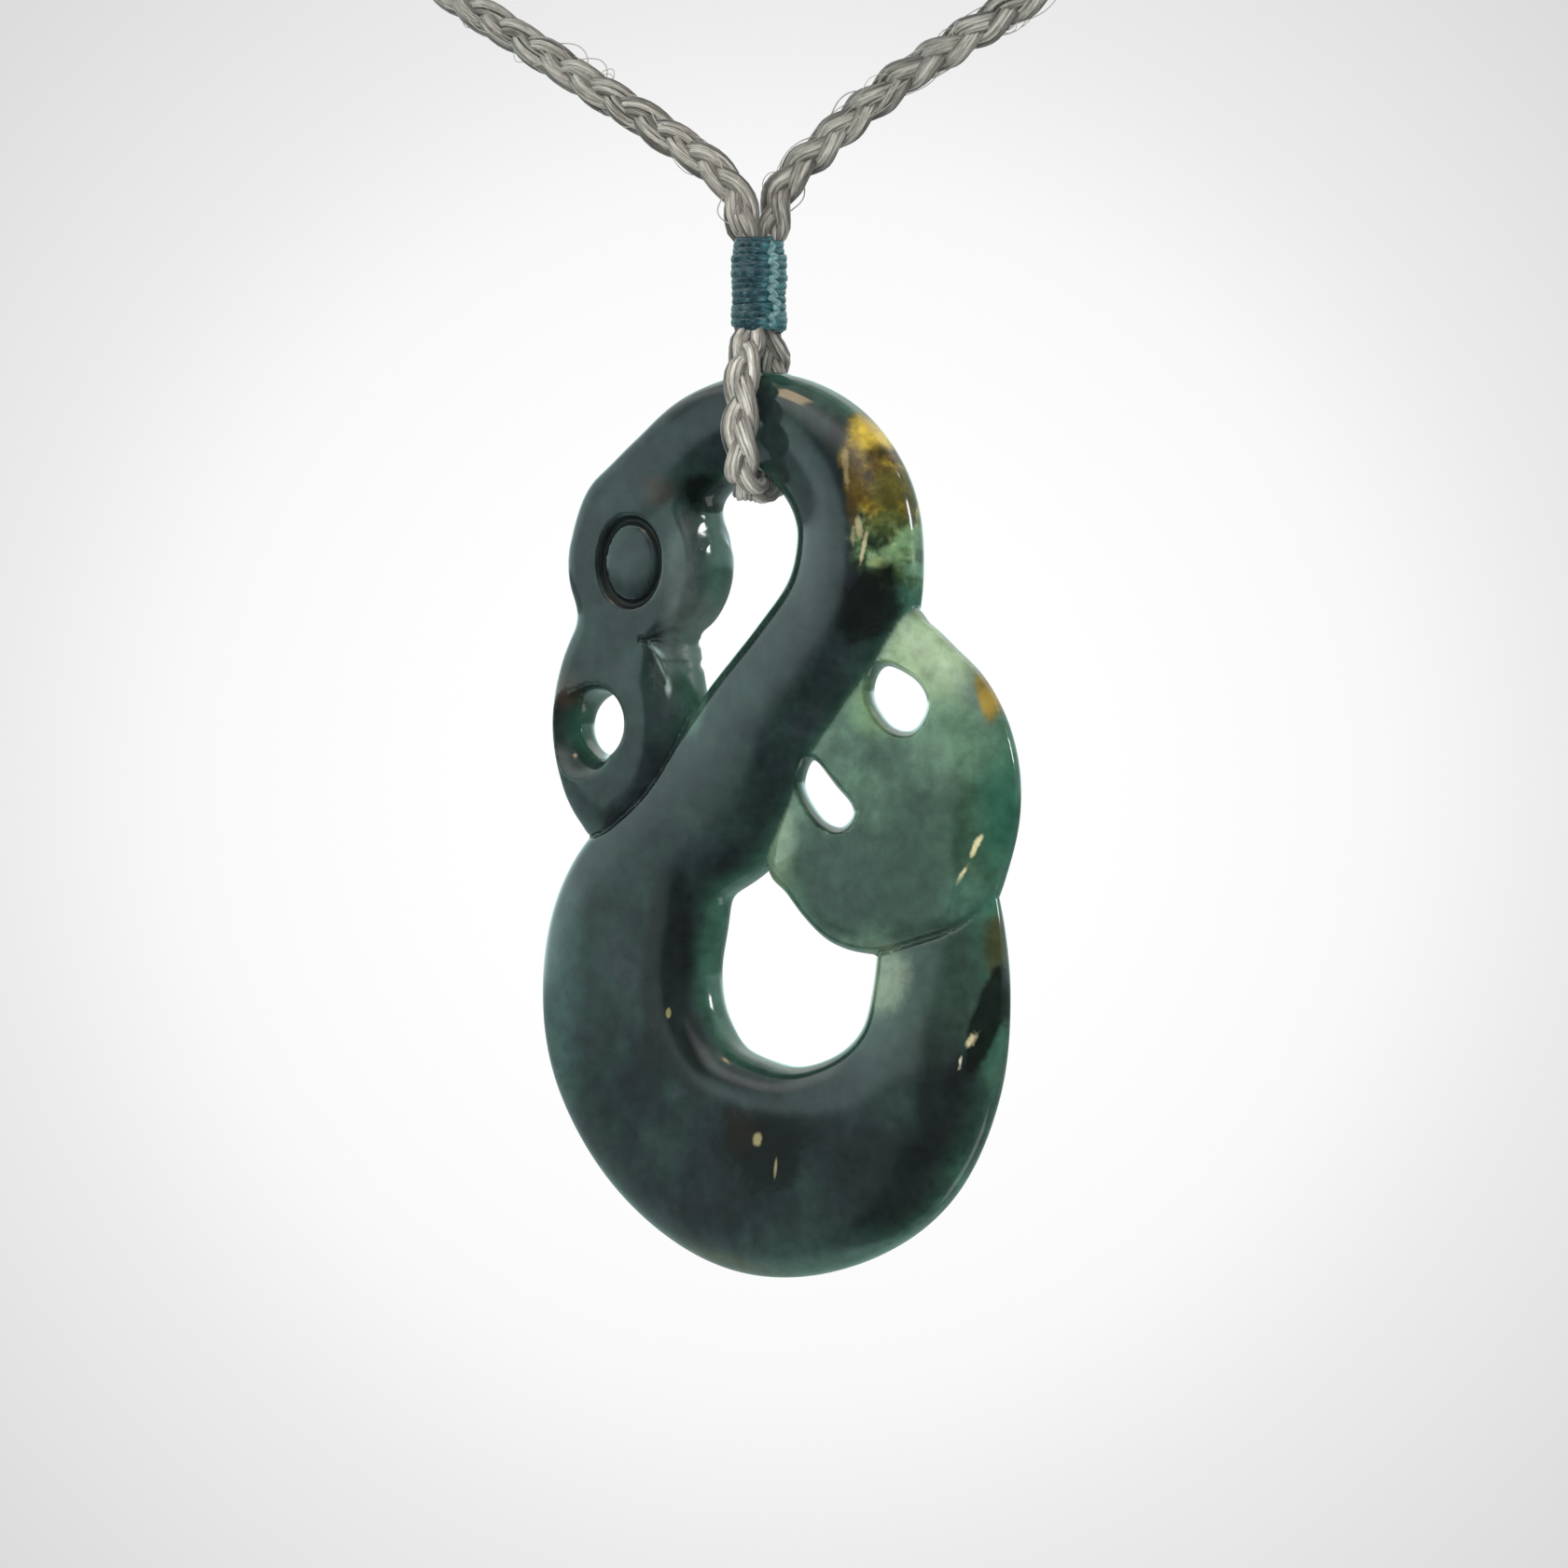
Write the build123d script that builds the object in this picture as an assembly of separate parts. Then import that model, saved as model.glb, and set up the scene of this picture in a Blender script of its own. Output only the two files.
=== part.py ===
from build123d import *
import os
import math
import numpy as np

# A manaia pendant of polished greenstone on a plaited neck cord, in millimetres.
# The origin is the neck side of the clasp at the nape, +Z is up and the stone faces -Y.
# The stone is the same on both faces. Its own tables count from the line that it hangs on,
# from its lowest point and from its middle plane.

# Stone
STONE_TALL = 55.0
STONE_WIDE = 33.0
STONE_THICK = 5.2
LIMB_WIDE = 12.0
LIMB_ROUND = 2.6
HEAD_ROUND = 3.2
HEAD_BLEND = 0.8
JAW_BLEND = 0.5
LOBE_THICK = 3.4
LOBE_EDGE = 4.0
LOBE_ROUND = 2.2
LOBE_BLEND = 0.3
JAW_HOLE_WIDE = 4.3
JAW_HOLE_TALL = 4.5
JAW_HOLE_EDGE = 0.8
JAW_HOLE_ROUND = 3.0
LOBE_HOLE_EDGE = 2.0
LOBE_HOLE_ROUND = 2.0
LOBE_HOLE_LEAN = 22.0
EYE_WIDE = 4.1
EYE_TALL = 5.2
EYE_CUT_WIDE = 0.9
EYE_CUT_DEEP = 0.45

# Mesh of the stone: its grid's steps, the finer one across the eye and jaw, its ends as shares of
# STONE_WIDE, how far a new try moves it, and the holes right through the stone
GRID_STEP = 1.2
GRID_FINE = 0.65
GRID_LEFT = -0.47
GRID_RIGHT = 0.57
GRID_SHIFT = 0.13
THROUGH_HOLES = 5
CURVE_SPAN = 5

# Cord, binding and clasp
CORD_WIDE = 2.3
CORD_CLEAR = 0.3
BORE_CLEAR = 0.1
DROP = 106.2
REACH = 150.0
BIND_GAP = 2.5
BIND_TALL = 6.0
BIND_THREAD = 0.35
BIND_EDGE = 0.25
BIGHT_ACROSS = 0.2
BIGHT_TWIST = 1.0
LEG_TURN_LOW = 0.23
LEG_TURN_HIGH = 0.46
NECK_TURN = 0.8
CLASP_LEAD = 5.75
CLASP_WIDE = 4.8
CLASP_LONG = 13.0
CLASP_WEB = 1.2
CLASP_EDGE = 0.6

# across: from the hanging line, share of STONE_WIDE. up: share of STONE_TALL.
# half: half the limb's width, share of LIMB_WIDE. deep: half its thickness, share of STONE_THICK.
LIMB = (
    # across, up, half, deep
    (-0.279, 0.842, 0.283, 0.46),   # brow
    (-0.191, 0.889, 0.279, 0.46),
    (-0.103, 0.929, 0.267, 0.45),
    (0.015, 0.949, 0.238, 0.45),    # top bar, where the cord passes
    (0.133, 0.918, 0.267, 0.47),
    (0.214, 0.859, 0.288, 0.49),
    (0.220, 0.795, 0.329, 0.50),    # neck
    (0.194, 0.729, 0.371, 0.50),
    (0.112, 0.667, 0.371, 0.50),
    (0.024, 0.605, 0.383, 0.50),
    (-0.070, 0.525, 0.404, 0.50),   # chest
    (-0.185, 0.462, 0.413, 0.50),
    (-0.258, 0.400, 0.483, 0.50),
    (-0.283, 0.331, 0.488, 0.50),   # back
    (-0.261, 0.247, 0.496, 0.50),
    (-0.170, 0.165, 0.492, 0.50),
    (-0.024, 0.118, 0.513, 0.50),   # foot
    (0.124, 0.114, 0.496, 0.50),
    (0.273, 0.151, 0.471, 0.49),
    (0.367, 0.225, 0.408, 0.47),
    (0.394, 0.309, 0.358, 0.40),    # tail
    (0.391, 0.375, 0.342, 0.29),
    (0.394, 0.427, 0.325, 0.20),
)
JAW = (
    # across, up, half, deep
    (-0.276, 0.720, 0.283, 0.47),
    (-0.286, 0.665, 0.388, 0.48),
    (-0.285, 0.611, 0.438, 0.48),
    (-0.288, 0.560, 0.400, 0.48),
    (-0.309, 0.516, 0.271, 0.46),
)
# The head is an oval: centre, then half its width and height as shares of LIMB_WIDE, then deep.
HEAD = (-0.244, 0.795, 0.442, 0.450, 0.49)
EYE = (-0.2455, 0.792)
JAW_HOLE = (-0.332, 0.606)
LOBE = (
    # across, up
    (0.315, 0.738), (0.370, 0.720), (0.421, 0.695), (0.485, 0.660), (0.533, 0.613), (0.558, 0.560),
    (0.558, 0.505), (0.536, 0.455), (0.497, 0.405), (0.430, 0.371), (0.333, 0.351), (0.252, 0.347),
    (0.188, 0.358), (0.139, 0.376), (0.073, 0.413), (0.012, 0.451), (0.045, 0.564), (0.167, 0.682),
)
LOBE_HOLES = (
    # across, up
    (
        (0.285, 0.673), (0.345, 0.656), (0.367, 0.631), (0.339, 0.604),
        (0.291, 0.607), (0.252, 0.635), (0.256, 0.662),
    ),
    (
        (0.124, 0.569), (0.170, 0.541), (0.208, 0.515), (0.183, 0.496),
        (0.139, 0.505), (0.102, 0.535), (0.103, 0.556),
    ),
)

# The cord's chosen points from above the binding up each side to the nape: x, y, z.
ROUTE_LEFT = (
    (-2.3, -151.0, -93.7),
    (-7.5, -150.8, -90.3),
    (-15.6, -150.5, -85.8),
    (-27.0, -149.0, -79.5),
    (-45.5, -140.5, -68.5),
    (-61.0, -124.5, -57.0),
    (-71.0, -102.0, -46.0),
    (-74.5, -77.0, -35.0),
    (-71.0, -52.0, -24.0),
    (-61.0, -30.5, -14.5),
    (-46.0, -13.0, -7.5),
    (-28.5, -1.0, -2.2),
)
ROUTE_RIGHT = (
    (2.1, -149.1, -93.9),
    (6.6, -149.3, -91.2),
    (15.6, -149.6, -85.6),
    (27.5, -148.5, -78.8),
    (46.0, -140.0, -68.0),
    (61.0, -124.0, -57.5),
    (71.0, -102.0, -46.5),
    (74.0, -77.0, -35.5),
    (71.0, -52.0, -24.5),
    (60.5, -30.0, -15.0),
    (45.5, -12.5, -7.0),
    (28.5, -0.8, -2.0),
)


def curve(rows, closed=False):
    """A smooth curve through the rows of a table, every column alike."""
    p = np.array(rows, float)
    if closed:
        p = np.vstack([p[-1:], p, p[:2]])
    else:
        p = np.vstack([2 * p[:1] - p[1:2], p, 2 * p[-1:] - p[-2:-1]])
    t = np.arange(CURVE_SPAN)[:, None] / CURVE_SPAN
    spans = []
    for a, b, c, d in zip(p[:-3], p[1:-2], p[2:-1], p[3:]):
        bend = (2 * a - 5 * b + 4 * c - d) * t ** 2 + (3 * b - a - 3 * c + d) * t ** 3
        spans.append(0.5 * (2 * b + (c - a) * t + bend))
    if not closed:
        spans.append(p[-2:-1])
    return np.vstack(spans)


def crown(r, roundness):
    """Squared height of a rounded section, 1 in the middle and 0 at r = 1, below 0 outside."""
    inside = np.clip(1.0 - np.clip(r, 0.0, 1.0) ** roundness, 0.0, 1.0) ** (2.0 / roundness)
    return np.where(r < 1.0, inside, 2.5 * (1.0 - r))


def rim(gap, width, roundness):
    """Squared height of a rounded edge: 0 at the outline, 1 from `width` inside it."""
    q = 1.0 - np.clip(gap / width, 0.0, 1.0)
    return np.where(gap > 0.0, (1.0 - q ** roundness) ** (2.0 / roundness), 2.0 * gap / width)


def blend(a, b, k):
    """The greater of two heights, filleted where they meet."""
    h = np.clip(k - np.abs(a - b), 0.0, None) / k
    return np.maximum(a, b) + 0.25 * k * h * h


def strand(x, z, table):
    """Squared half thickness of a rounded limb that follows the table."""
    rows = curve(table)
    cx, cz = rows[:, 0] * STONE_WIDE, rows[:, 1] * STONE_TALL
    half, deep = rows[:, 2] * LIMB_WIDE, rows[:, 3] * STONE_THICK
    best = np.full(np.shape(x), -1000.0)
    for i in range(len(rows) - 1):
        ex, ez = cx[i + 1] - cx[i], cz[i + 1] - cz[i]
        t = np.clip(((x - cx[i]) * ex + (z - cz[i]) * ez) / (ex * ex + ez * ez), 0.0, 1.0)
        off = np.hypot(x - cx[i] - t * ex, z - cz[i] - t * ez)
        r = off / (half[i] + t * (half[i + 1] - half[i]))
        best = np.maximum(best, (deep[i] + t * (deep[i + 1] - deep[i])) ** 2 * crown(r, LIMB_ROUND))
    return best


def outline_gap(x, z, table):
    """Distance to a closed outline, above 0 inside it."""
    line = curve(table, closed=True) * (STONE_WIDE, STONE_TALL)
    inside = np.zeros(np.shape(x), bool)
    near = np.full(np.shape(x), 1000.0)
    for a, b in zip(line, np.roll(line, -1, axis=0)):
        e = b - a
        t = np.clip(((x - a[0]) * e[0] + (z - a[1]) * e[1]) / (e @ e), 0.0, 1.0)
        near = np.minimum(near, np.hypot(x - a[0] - t * e[0], z - a[1] - t * e[1]))
        if a[1] != b[1]:
            left = x < e[0] * (z - a[1]) / e[1] + a[0]
            inside ^= ((a[1] > z) != (b[1] > z)) & left
    return np.where(inside, near, -near)


def oval(x, z, centre, half_wide, half_tall):
    """Distance from an oval's centre, 1 on its rim."""
    return np.hypot((x - centre[0] * STONE_WIDE) / half_wide, (z - centre[1] * STONE_TALL) / half_tall)


def stone_height(x, z):
    """Squared half thickness of the stone, without the holes that lean."""
    limb = strand(x, z, LIMB)
    head_off = oval(x, z, HEAD[:2], HEAD[2] * LIMB_WIDE, HEAD[3] * LIMB_WIDE)
    head = (HEAD[4] * STONE_THICK) ** 2 * crown(head_off, HEAD_ROUND)
    jaw = strand(x, z, JAW)
    lobe = (0.5 * LOBE_THICK) ** 2 * rim(outline_gap(x, z, LOBE), LOBE_EDGE, LOBE_ROUND)
    s = blend(blend(blend(limb, head, HEAD_BLEND), jaw, JAW_BLEND), lobe, LOBE_BLEND)
    # the hole through the jaw, with its bevel
    beyond = (oval(x, z, JAW_HOLE, 0.5 * JAW_HOLE_WIDE, 0.5 * JAW_HOLE_TALL) - 1.0) * 0.5 * JAW_HOLE_WIDE
    s = np.minimum(s, (0.5 * STONE_THICK) ** 2 * rim(beyond, JAW_HOLE_EDGE, JAW_HOLE_ROUND))
    # the cut ring of the eye
    off = (oval(x, z, EYE, 0.5 * EYE_WIDE, 0.5 * EYE_TALL) - 1.0) * 0.25 * (EYE_WIDE + EYE_TALL)
    cut = EYE_CUT_DEEP * np.clip(1.0 - (2.0 * off / EYE_CUT_WIDE) ** 2, 0.0, 1.0)
    return s - 2.0 * np.sqrt(np.clip(s, 0.0, None)) * cut + cut * cut


def stone_field(x, y, z):
    """Above 0 inside the stone."""
    return pierced(stone_height(x, z), x, y, z)


def pierced(s, x, y, z):
    """The same, from a height worked out before, with the lobe's leaning holes cut."""
    for hole in LOBE_HOLES:
        beyond = -outline_gap(x + y * math.tan(math.radians(LOBE_HOLE_LEAN)), z, hole)
        s = np.minimum(s, (0.5 * STONE_THICK) ** 2 * rim(beyond, LOBE_HOLE_EDGE, LOBE_HOLE_ROUND))
    return s - y * y


def grid_lines(low, high, fine_from, fine_to):
    """Grid lines from low to high, closer together across the eye and jaw."""
    lines = [low]
    while lines[-1] < high:
        lines.append(lines[-1] + (GRID_FINE if fine_from <= lines[-1] < fine_to else GRID_STEP))
    return np.array(lines)


def surface_net(values, lines):
    """Points and four-sided faces of the surface where the values pass 0."""
    cells = tuple(n - 1 for n in values.shape)
    total = np.zeros(cells + (3,))
    count = np.zeros(cells)
    crossings = []
    for axis in range(3):
        before = [slice(None)] * 3
        after = [slice(None)] * 3
        before[axis], after[axis] = slice(0, -1), slice(1, None)
        a, b = values[tuple(before)], values[tuple(after)]
        cross = (a > 0) != (b > 0)
        at = np.argwhere(cross)
        first = a[cross]
        point = np.stack([lines[k][at[:, k]] for k in range(3)], axis=1)
        span = lines[axis][at[:, axis] + 1] - lines[axis][at[:, axis]]
        point[:, axis] += first / (first - b[cross]) * span
        u, w = (axis + 1) % 3, (axis + 2) % 3
        around = []
        for du, dw in ((-1, -1), (0, -1), (0, 0), (-1, 0)):
            cell = at.copy()
            cell[:, u] += du
            cell[:, w] += dw
            np.add.at(total, tuple(cell.T), point)
            np.add.at(count, tuple(cell.T), 1)
            around.append(cell)
        crossings.append((around, first > 0))
    number = np.full(cells, -1)
    number[count > 0] = np.arange(np.count_nonzero(count))
    points = total[count > 0] / count[count > 0][:, None]
    faces = []
    for around, rising in crossings:
        ring = np.stack([number[tuple(cell.T)] for cell in around], axis=1)
        ring[~rising] = ring[~rising][:, ::-1]
        faces.append(ring)
    return points, np.vstack(faces)


def is_sound(count, triangles):
    """Whether every edge has two faces and the surface has the stone's holes and no more."""
    edges = np.sort(np.vstack([triangles[:, [i, (i + 1) % 3]] for i in range(3)]), axis=1)
    different, uses = np.unique(edges, axis=0, return_counts=True)
    euler = count - len(different) + len(triangles)
    return bool(np.all(uses == 2)) and euler == 2 - 2 * THROUGH_HOLES


def settle(points):
    """Moves the points onto the surface, along its slope."""
    p = points.copy()
    small = 0.02
    for _ in range(4):
        slope = np.empty_like(p)
        for k in range(3):
            step = np.zeros(3)
            step[k] = small
            slope[:, k] = (stone_field(*(p + step).T) - stone_field(*(p - step).T)) / (2 * small)
        move = -(stone_field(*p.T) / np.maximum((slope ** 2).sum(1), small ** 2))[:, None] * slope
        size = np.linalg.norm(move, axis=1)[:, None]
        p += move * np.minimum(1.0, 0.25 * GRID_STEP / np.maximum(size, 1e-9))
    return p


def halved(points, faces):
    """Each four-sided face as two triangles, along its shorter diagonal."""
    a, b, c, d = (points[faces[:, i]] for i in range(4))
    first = (np.linalg.norm(a - c, axis=1) <= np.linalg.norm(b - d, axis=1))[:, None]
    one = np.where(first, faces[:, [0, 1, 2]], faces[:, [0, 1, 3]])
    two = np.where(first, faces[:, [0, 2, 3]], faces[:, [1, 2, 3]])
    return np.vstack([one, two])


def stone_mesh():
    """The stone's points and triangles, in its own place."""
    pad = 1.2 * GRID_STEP
    eye_right = EYE[0] * STONE_WIDE + 0.5 * EYE_WIDE + EYE_CUT_WIDE
    eye_top = EYE[1] * STONE_TALL + 0.5 * EYE_TALL + EYE_CUT_WIDE
    hole_left = JAW_HOLE[0] * STONE_WIDE - 0.5 * JAW_HOLE_WIDE - 2.0 * JAW_HOLE_EDGE
    hole_low = JAW_HOLE[1] * STONE_TALL - 0.5 * JAW_HOLE_TALL - JAW_HOLE_EDGE
    layers = 2 * math.ceil((0.5 * STONE_THICK + pad) / GRID_STEP)
    ys = (np.arange(layers) - 0.5 * (layers - 1)) * GRID_STEP
    for attempt in range(12):
        shift = pad + attempt * GRID_SHIFT * GRID_STEP
        xs = grid_lines(GRID_LEFT * STONE_WIDE - shift, GRID_RIGHT * STONE_WIDE + pad, hole_left, eye_right)
        zs = grid_lines(-shift, STONE_TALL + pad, hole_low, eye_top)
        x, y, z = np.meshgrid(xs, ys, zs, indexing="ij")
        height = stone_height(x[:, 0, :], z[:, 0, :])[:, None, :]
        points, faces = surface_net(pierced(height, x, y, z), (xs, ys, zs))
        points = settle(points)
        triangles = halved(points, faces)
        if is_sound(len(points), triangles):
            break
    return points, triangles


def stone():
    """The stone as one faceted solid, hung at its place below the nape."""
    points, triangles = stone_mesh()
    place = points + (0.0, -REACH, -DROP - STONE_TALL)
    corners = [Vector(*p) for p in place]
    faces = [Face(Wire.make_polygon([corners[i] for i in t])) for t in triangles]
    return Solid(Shell(faces))


def bar_underside():
    """Height of the top bar's underside over the bight, from the stone's lowest point."""
    z = np.linspace(STONE_TALL, 0.5 * STONE_TALL, 2000)
    solid = stone_height(np.full_like(z, BIGHT_ACROSS), z) > 0.0
    start = int(np.argmax(solid))
    return float(z[start + int(np.argmin(solid[start:]))])


def leg_points(side):
    """The cord beside the stone and in the binding: side -1 is the front leg, 1 the back one."""
    beside = side * (0.5 * STONE_THICK + CORD_CLEAR + 0.5 * CORD_WIDE)
    bound = side * 0.5 * (CORD_WIDE + BORE_CLEAR)
    twist = -side * BIGHT_TWIST
    return [
        (BIGHT_ACROSS + twist, beside - REACH, BIGHT_Z),
        (BIGHT_ACROSS + twist, beside - REACH, STONE_TOP - LEG_TURN_LOW),
        (0.1 * twist, bound - REACH, BIND_LOW - LEG_TURN_HIGH),
        (-0.1 * twist, bound - REACH, BIND_HIGH + NECK_TURN),
    ]


def route(side, chosen):
    """All the points of one half of the cord, from beside the stone to its end in the clasp."""
    nape_y = 0.5 * CLASP_WIDE
    lead = (side * (0.5 * CLASP_LONG + CLASP_LEAD), nape_y, 0.0)
    end = (side * 0.5 * CLASP_WEB, nape_y, 0.0)
    return leg_points(side) + list(chosen) + [lead, end]


def corner_radii(points):
    """0.45 of the shorter run at each corner, over the tangent of half the turn."""
    radii = []
    for a, b, c in zip(points[:-2], points[1:-1], points[2:]):
        before, after = Vector(*b) - Vector(*a), Vector(*c) - Vector(*b)
        half_turn = math.radians(0.5 * before.get_angle(after))
        radii.append(0.45 * min(before.length, after.length) / math.tan(half_turn))
    return radii


def half_path(points, other_start):
    """Straight runs and tangent arcs from the middle of the bight to the clasp."""
    radii = corner_radii([other_start] + points)
    middle = tuple(0.5 * (a + b) for a, b in zip(points[0], other_start))
    return FilletPolyline(middle, *points, radius=radii), radii


def tube(path, width):
    """The plait's outer form: a round section along a path."""
    return sweep(Plane(origin=path @ 0, z_dir=path % 0) * Circle(0.5 * width), path=path)


def binding(paths):
    """The thread wound round both legs: an oval sleeve that the legs pass through."""
    round_half = 0.5 * CORD_WIDE + BORE_CLEAR + BIND_THREAD
    section = Plane.XY.offset(BIND_LOW) * Pos(0, -REACH) * SlotCenterToCenter(
        CORD_WIDE + BORE_CLEAR, 2 * round_half, rotation=90)
    sleeve = extrude(section, amount=BIND_TALL)
    ends = sleeve.edges().group_by(Axis.Z)
    sleeve = fillet(ends[0] + ends[-1], BIND_EDGE)
    for path in paths:
        sleeve -= tube(path, CORD_WIDE + 2 * BORE_CLEAR)
    return sleeve


def clasp():
    """A plain barrel at the nape, bored from both ends for the ends of the cord."""
    barrel = Rot(0, 90, 0) * Cylinder(0.5 * CLASP_WIDE, CLASP_LONG)
    barrel = fillet(barrel.edges().filter_by(GeomType.CIRCLE), CLASP_EDGE)
    depth = 0.5 * (CLASP_LONG - CLASP_WEB)
    for side in (-1, 1):
        bore = Rot(0, 90, 0) * Cylinder(0.5 * CORD_WIDE + BORE_CLEAR, depth)
        barrel -= Pos(side * 0.5 * (CLASP_LONG - depth), 0, 0) * bore
    return Pos(0, 0.5 * CLASP_WIDE, 0) * barrel


STONE_TOP = -DROP
BIND_LOW = STONE_TOP + BIND_GAP
BIND_HIGH = BIND_LOW + BIND_TALL
BIGHT_Z = STONE_TOP - STONE_TALL + bar_underside() - CORD_CLEAR - 0.5 * CORD_WIDE

left_points = route(-1, ROUTE_LEFT)
right_points = route(1, ROUTE_RIGHT)
left_path, left_radii = half_path(left_points, right_points[0])
right_path, right_radii = half_path(right_points, left_points[0])
left, right = tube(left_path, CORD_WIDE), tube(right_path, CORD_WIDE)
for body, path, radii in ((left, left_path, left_radii), (right, right_path, right_radii)):
    expected = math.pi * (0.5 * CORD_WIDE) ** 2 * path.length
    print("plait length", round(path.length, 1), "radii", [round(r, 1) for r in radii])
    print("plait volume", round(body.volume, 1), "section times length", round(expected, 1))

pieces = {
    "manaia_stone": stone(),
    "plait_left": left,
    "plait_right": right,
    "binding": binding((left_path, right_path)),
    "nape_clasp": clasp(),
}
os.makedirs("parts", exist_ok=True)
for name, piece in pieces.items():
    export_step(piece, f"parts/{name}.step")
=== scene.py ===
import math

import bpy
import numpy as np
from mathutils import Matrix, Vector


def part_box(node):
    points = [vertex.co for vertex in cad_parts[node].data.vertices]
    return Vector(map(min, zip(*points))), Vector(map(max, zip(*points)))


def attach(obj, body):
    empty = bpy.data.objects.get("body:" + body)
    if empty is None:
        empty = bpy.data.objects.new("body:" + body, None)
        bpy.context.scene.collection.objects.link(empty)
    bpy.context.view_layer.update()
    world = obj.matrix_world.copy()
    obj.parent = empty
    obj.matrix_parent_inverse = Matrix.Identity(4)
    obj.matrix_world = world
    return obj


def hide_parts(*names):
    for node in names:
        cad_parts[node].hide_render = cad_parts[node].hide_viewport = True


# A manaia pendant of polished nephrite on a plaited neck cord.
# Lengths of the pieces are in millimetres until a mesh is made, which turns them to metres.
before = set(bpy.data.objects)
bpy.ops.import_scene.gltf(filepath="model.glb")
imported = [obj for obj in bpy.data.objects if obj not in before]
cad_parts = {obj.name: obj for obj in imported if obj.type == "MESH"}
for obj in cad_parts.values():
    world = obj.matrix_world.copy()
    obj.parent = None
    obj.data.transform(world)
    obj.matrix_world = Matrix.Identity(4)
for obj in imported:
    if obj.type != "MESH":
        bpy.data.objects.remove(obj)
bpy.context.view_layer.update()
scene = bpy.context.scene
rng = np.random.default_rng(7)

MM = 0.001

# Where the stone hangs: its tables count from its lowest point, its middle plane and its hanging line.
stone_low, stone_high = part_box("manaia_stone")
bind_low, bind_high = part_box("binding")
REACH = -(stone_low.y + stone_high.y) / 2 / MM
STONE_FOOT = -161.2
BIND_FOOT, BIND_TOP = bind_low.z / MM, bind_high.z / MM
BIND_MIDDLE = np.array((0.5 * (bind_low.x + bind_high.x) / MM, -REACH, 0.0))

# Camera: how far round from the front in degrees, how far off, and where it aims
CAMERA_TURN = 32.0
CAMERA_FAR = 550.0
CAMERA_RIGHT = 1.52
CAMERA_UP = 29.87
FRAME_WIDE = 96.33
SENSOR_WIDE = 36.0
# From the target to the top bar
TOP_BAR = (3.2, -1.8, 23.6)

# Stone. A pair of values is where a change begins and where it is complete.
STONE_TALL = 55.0
STONE_WIDE = 33.0
STONE_THICK = 5.2
STONE_LEFT, STONE_RIGHT = -0.47, 0.57
LIMB_WIDE = 12.0
LIMB_SOFTEN = 0.6
FOOT_THINS_FROM = 15.0
FOOT_THINS_BY = 0.2
# The flat face that the head, the jaw and the end of the brow share
FACE_THICK = 4.95
FACE_ROUND = 2.3
FACE_BLEND = 1.3
FACE_EDGE = 1.1
FACE_LOWER_EDGE = 3.2
FACE_LOWER = (40.0, 36.0)
FACE_LOWER_ACROSS = (-13.0, -9.0)
BROW_BLEND = 1.4
BROW_SINKS = 0.4
BROW_ACROSS = (-8.0, 2.0)
BROW_UP = (44.0, 48.0)
BROW_LOW = 45.5
BROW_LOW_FADE = 0.5
JAW_BLEND = 0.4
JAW_FREE = (33.0, 37.0)
# Creases where the jaw and the lobe lie on the limb
CREASE_DEEP = 0.28
CREASE_WIDE = 0.55
JAW_CREASE_UP = (36.0, 34.0)
JAW_CREASE_RIGHT = -1.0
TAIL_CREASE_UP = (22.5, 20.5)
# The lobe, its holes, the jaw's hole and the eye
LOBE_THICK = 3.4
LOBE_EDGE = 4.0
LOBE_FOOT_EDGE = 1.4
LOBE_FOOT = (27.0, 22.0)
LOBE_ROUND = 2.2
LOBE_BLEND = 0.3
LOBE_HOLE_EDGE = 2.0
LOBE_HOLE_ROUND = 2.0
LOBE_HOLE_LEAN = 22.0
JAW_HOLE_WIDE = 3.9
JAW_HOLE_TALL = 4.0
JAW_HOLE_EDGE = 0.7
JAW_HOLE_WIDER_EDGE = 2.4
JAW_HOLE_WIDER_AT = (-0.86, -0.5)
JAW_HOLE_ROUND = 2.2
EYE_WIDE = 4.1
EYE_TALL = 5.2
EYE_CUT_WIDE = 0.58
EYE_CUT_WIDER_LEFT = 0.5
EYE_CUT_DEEP = 0.45
EYE_DOME = 0.08
CUT_TAPER = 0.7

# How finely the stone's surface is worked out
CURVE_SPAN = 20
HEIGHT_STEP = 0.1
MESH_STEP = 0.21
FIELD_POWER = 2.6
OUTSIDE_SLOPE = 1.85
CROWN_FALL = 2.5
SLOPE_STEP = 0.02
GRID_MARGINS = (2.3, 2.5)
LIMB_MARGIN = 1.5
FAR_OUTSIDE = -50.0
SOFTEN_FLOOR = -3.0
SETTLE_ROUNDS = 5
SETTLE_SHARE = 0.25

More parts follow.
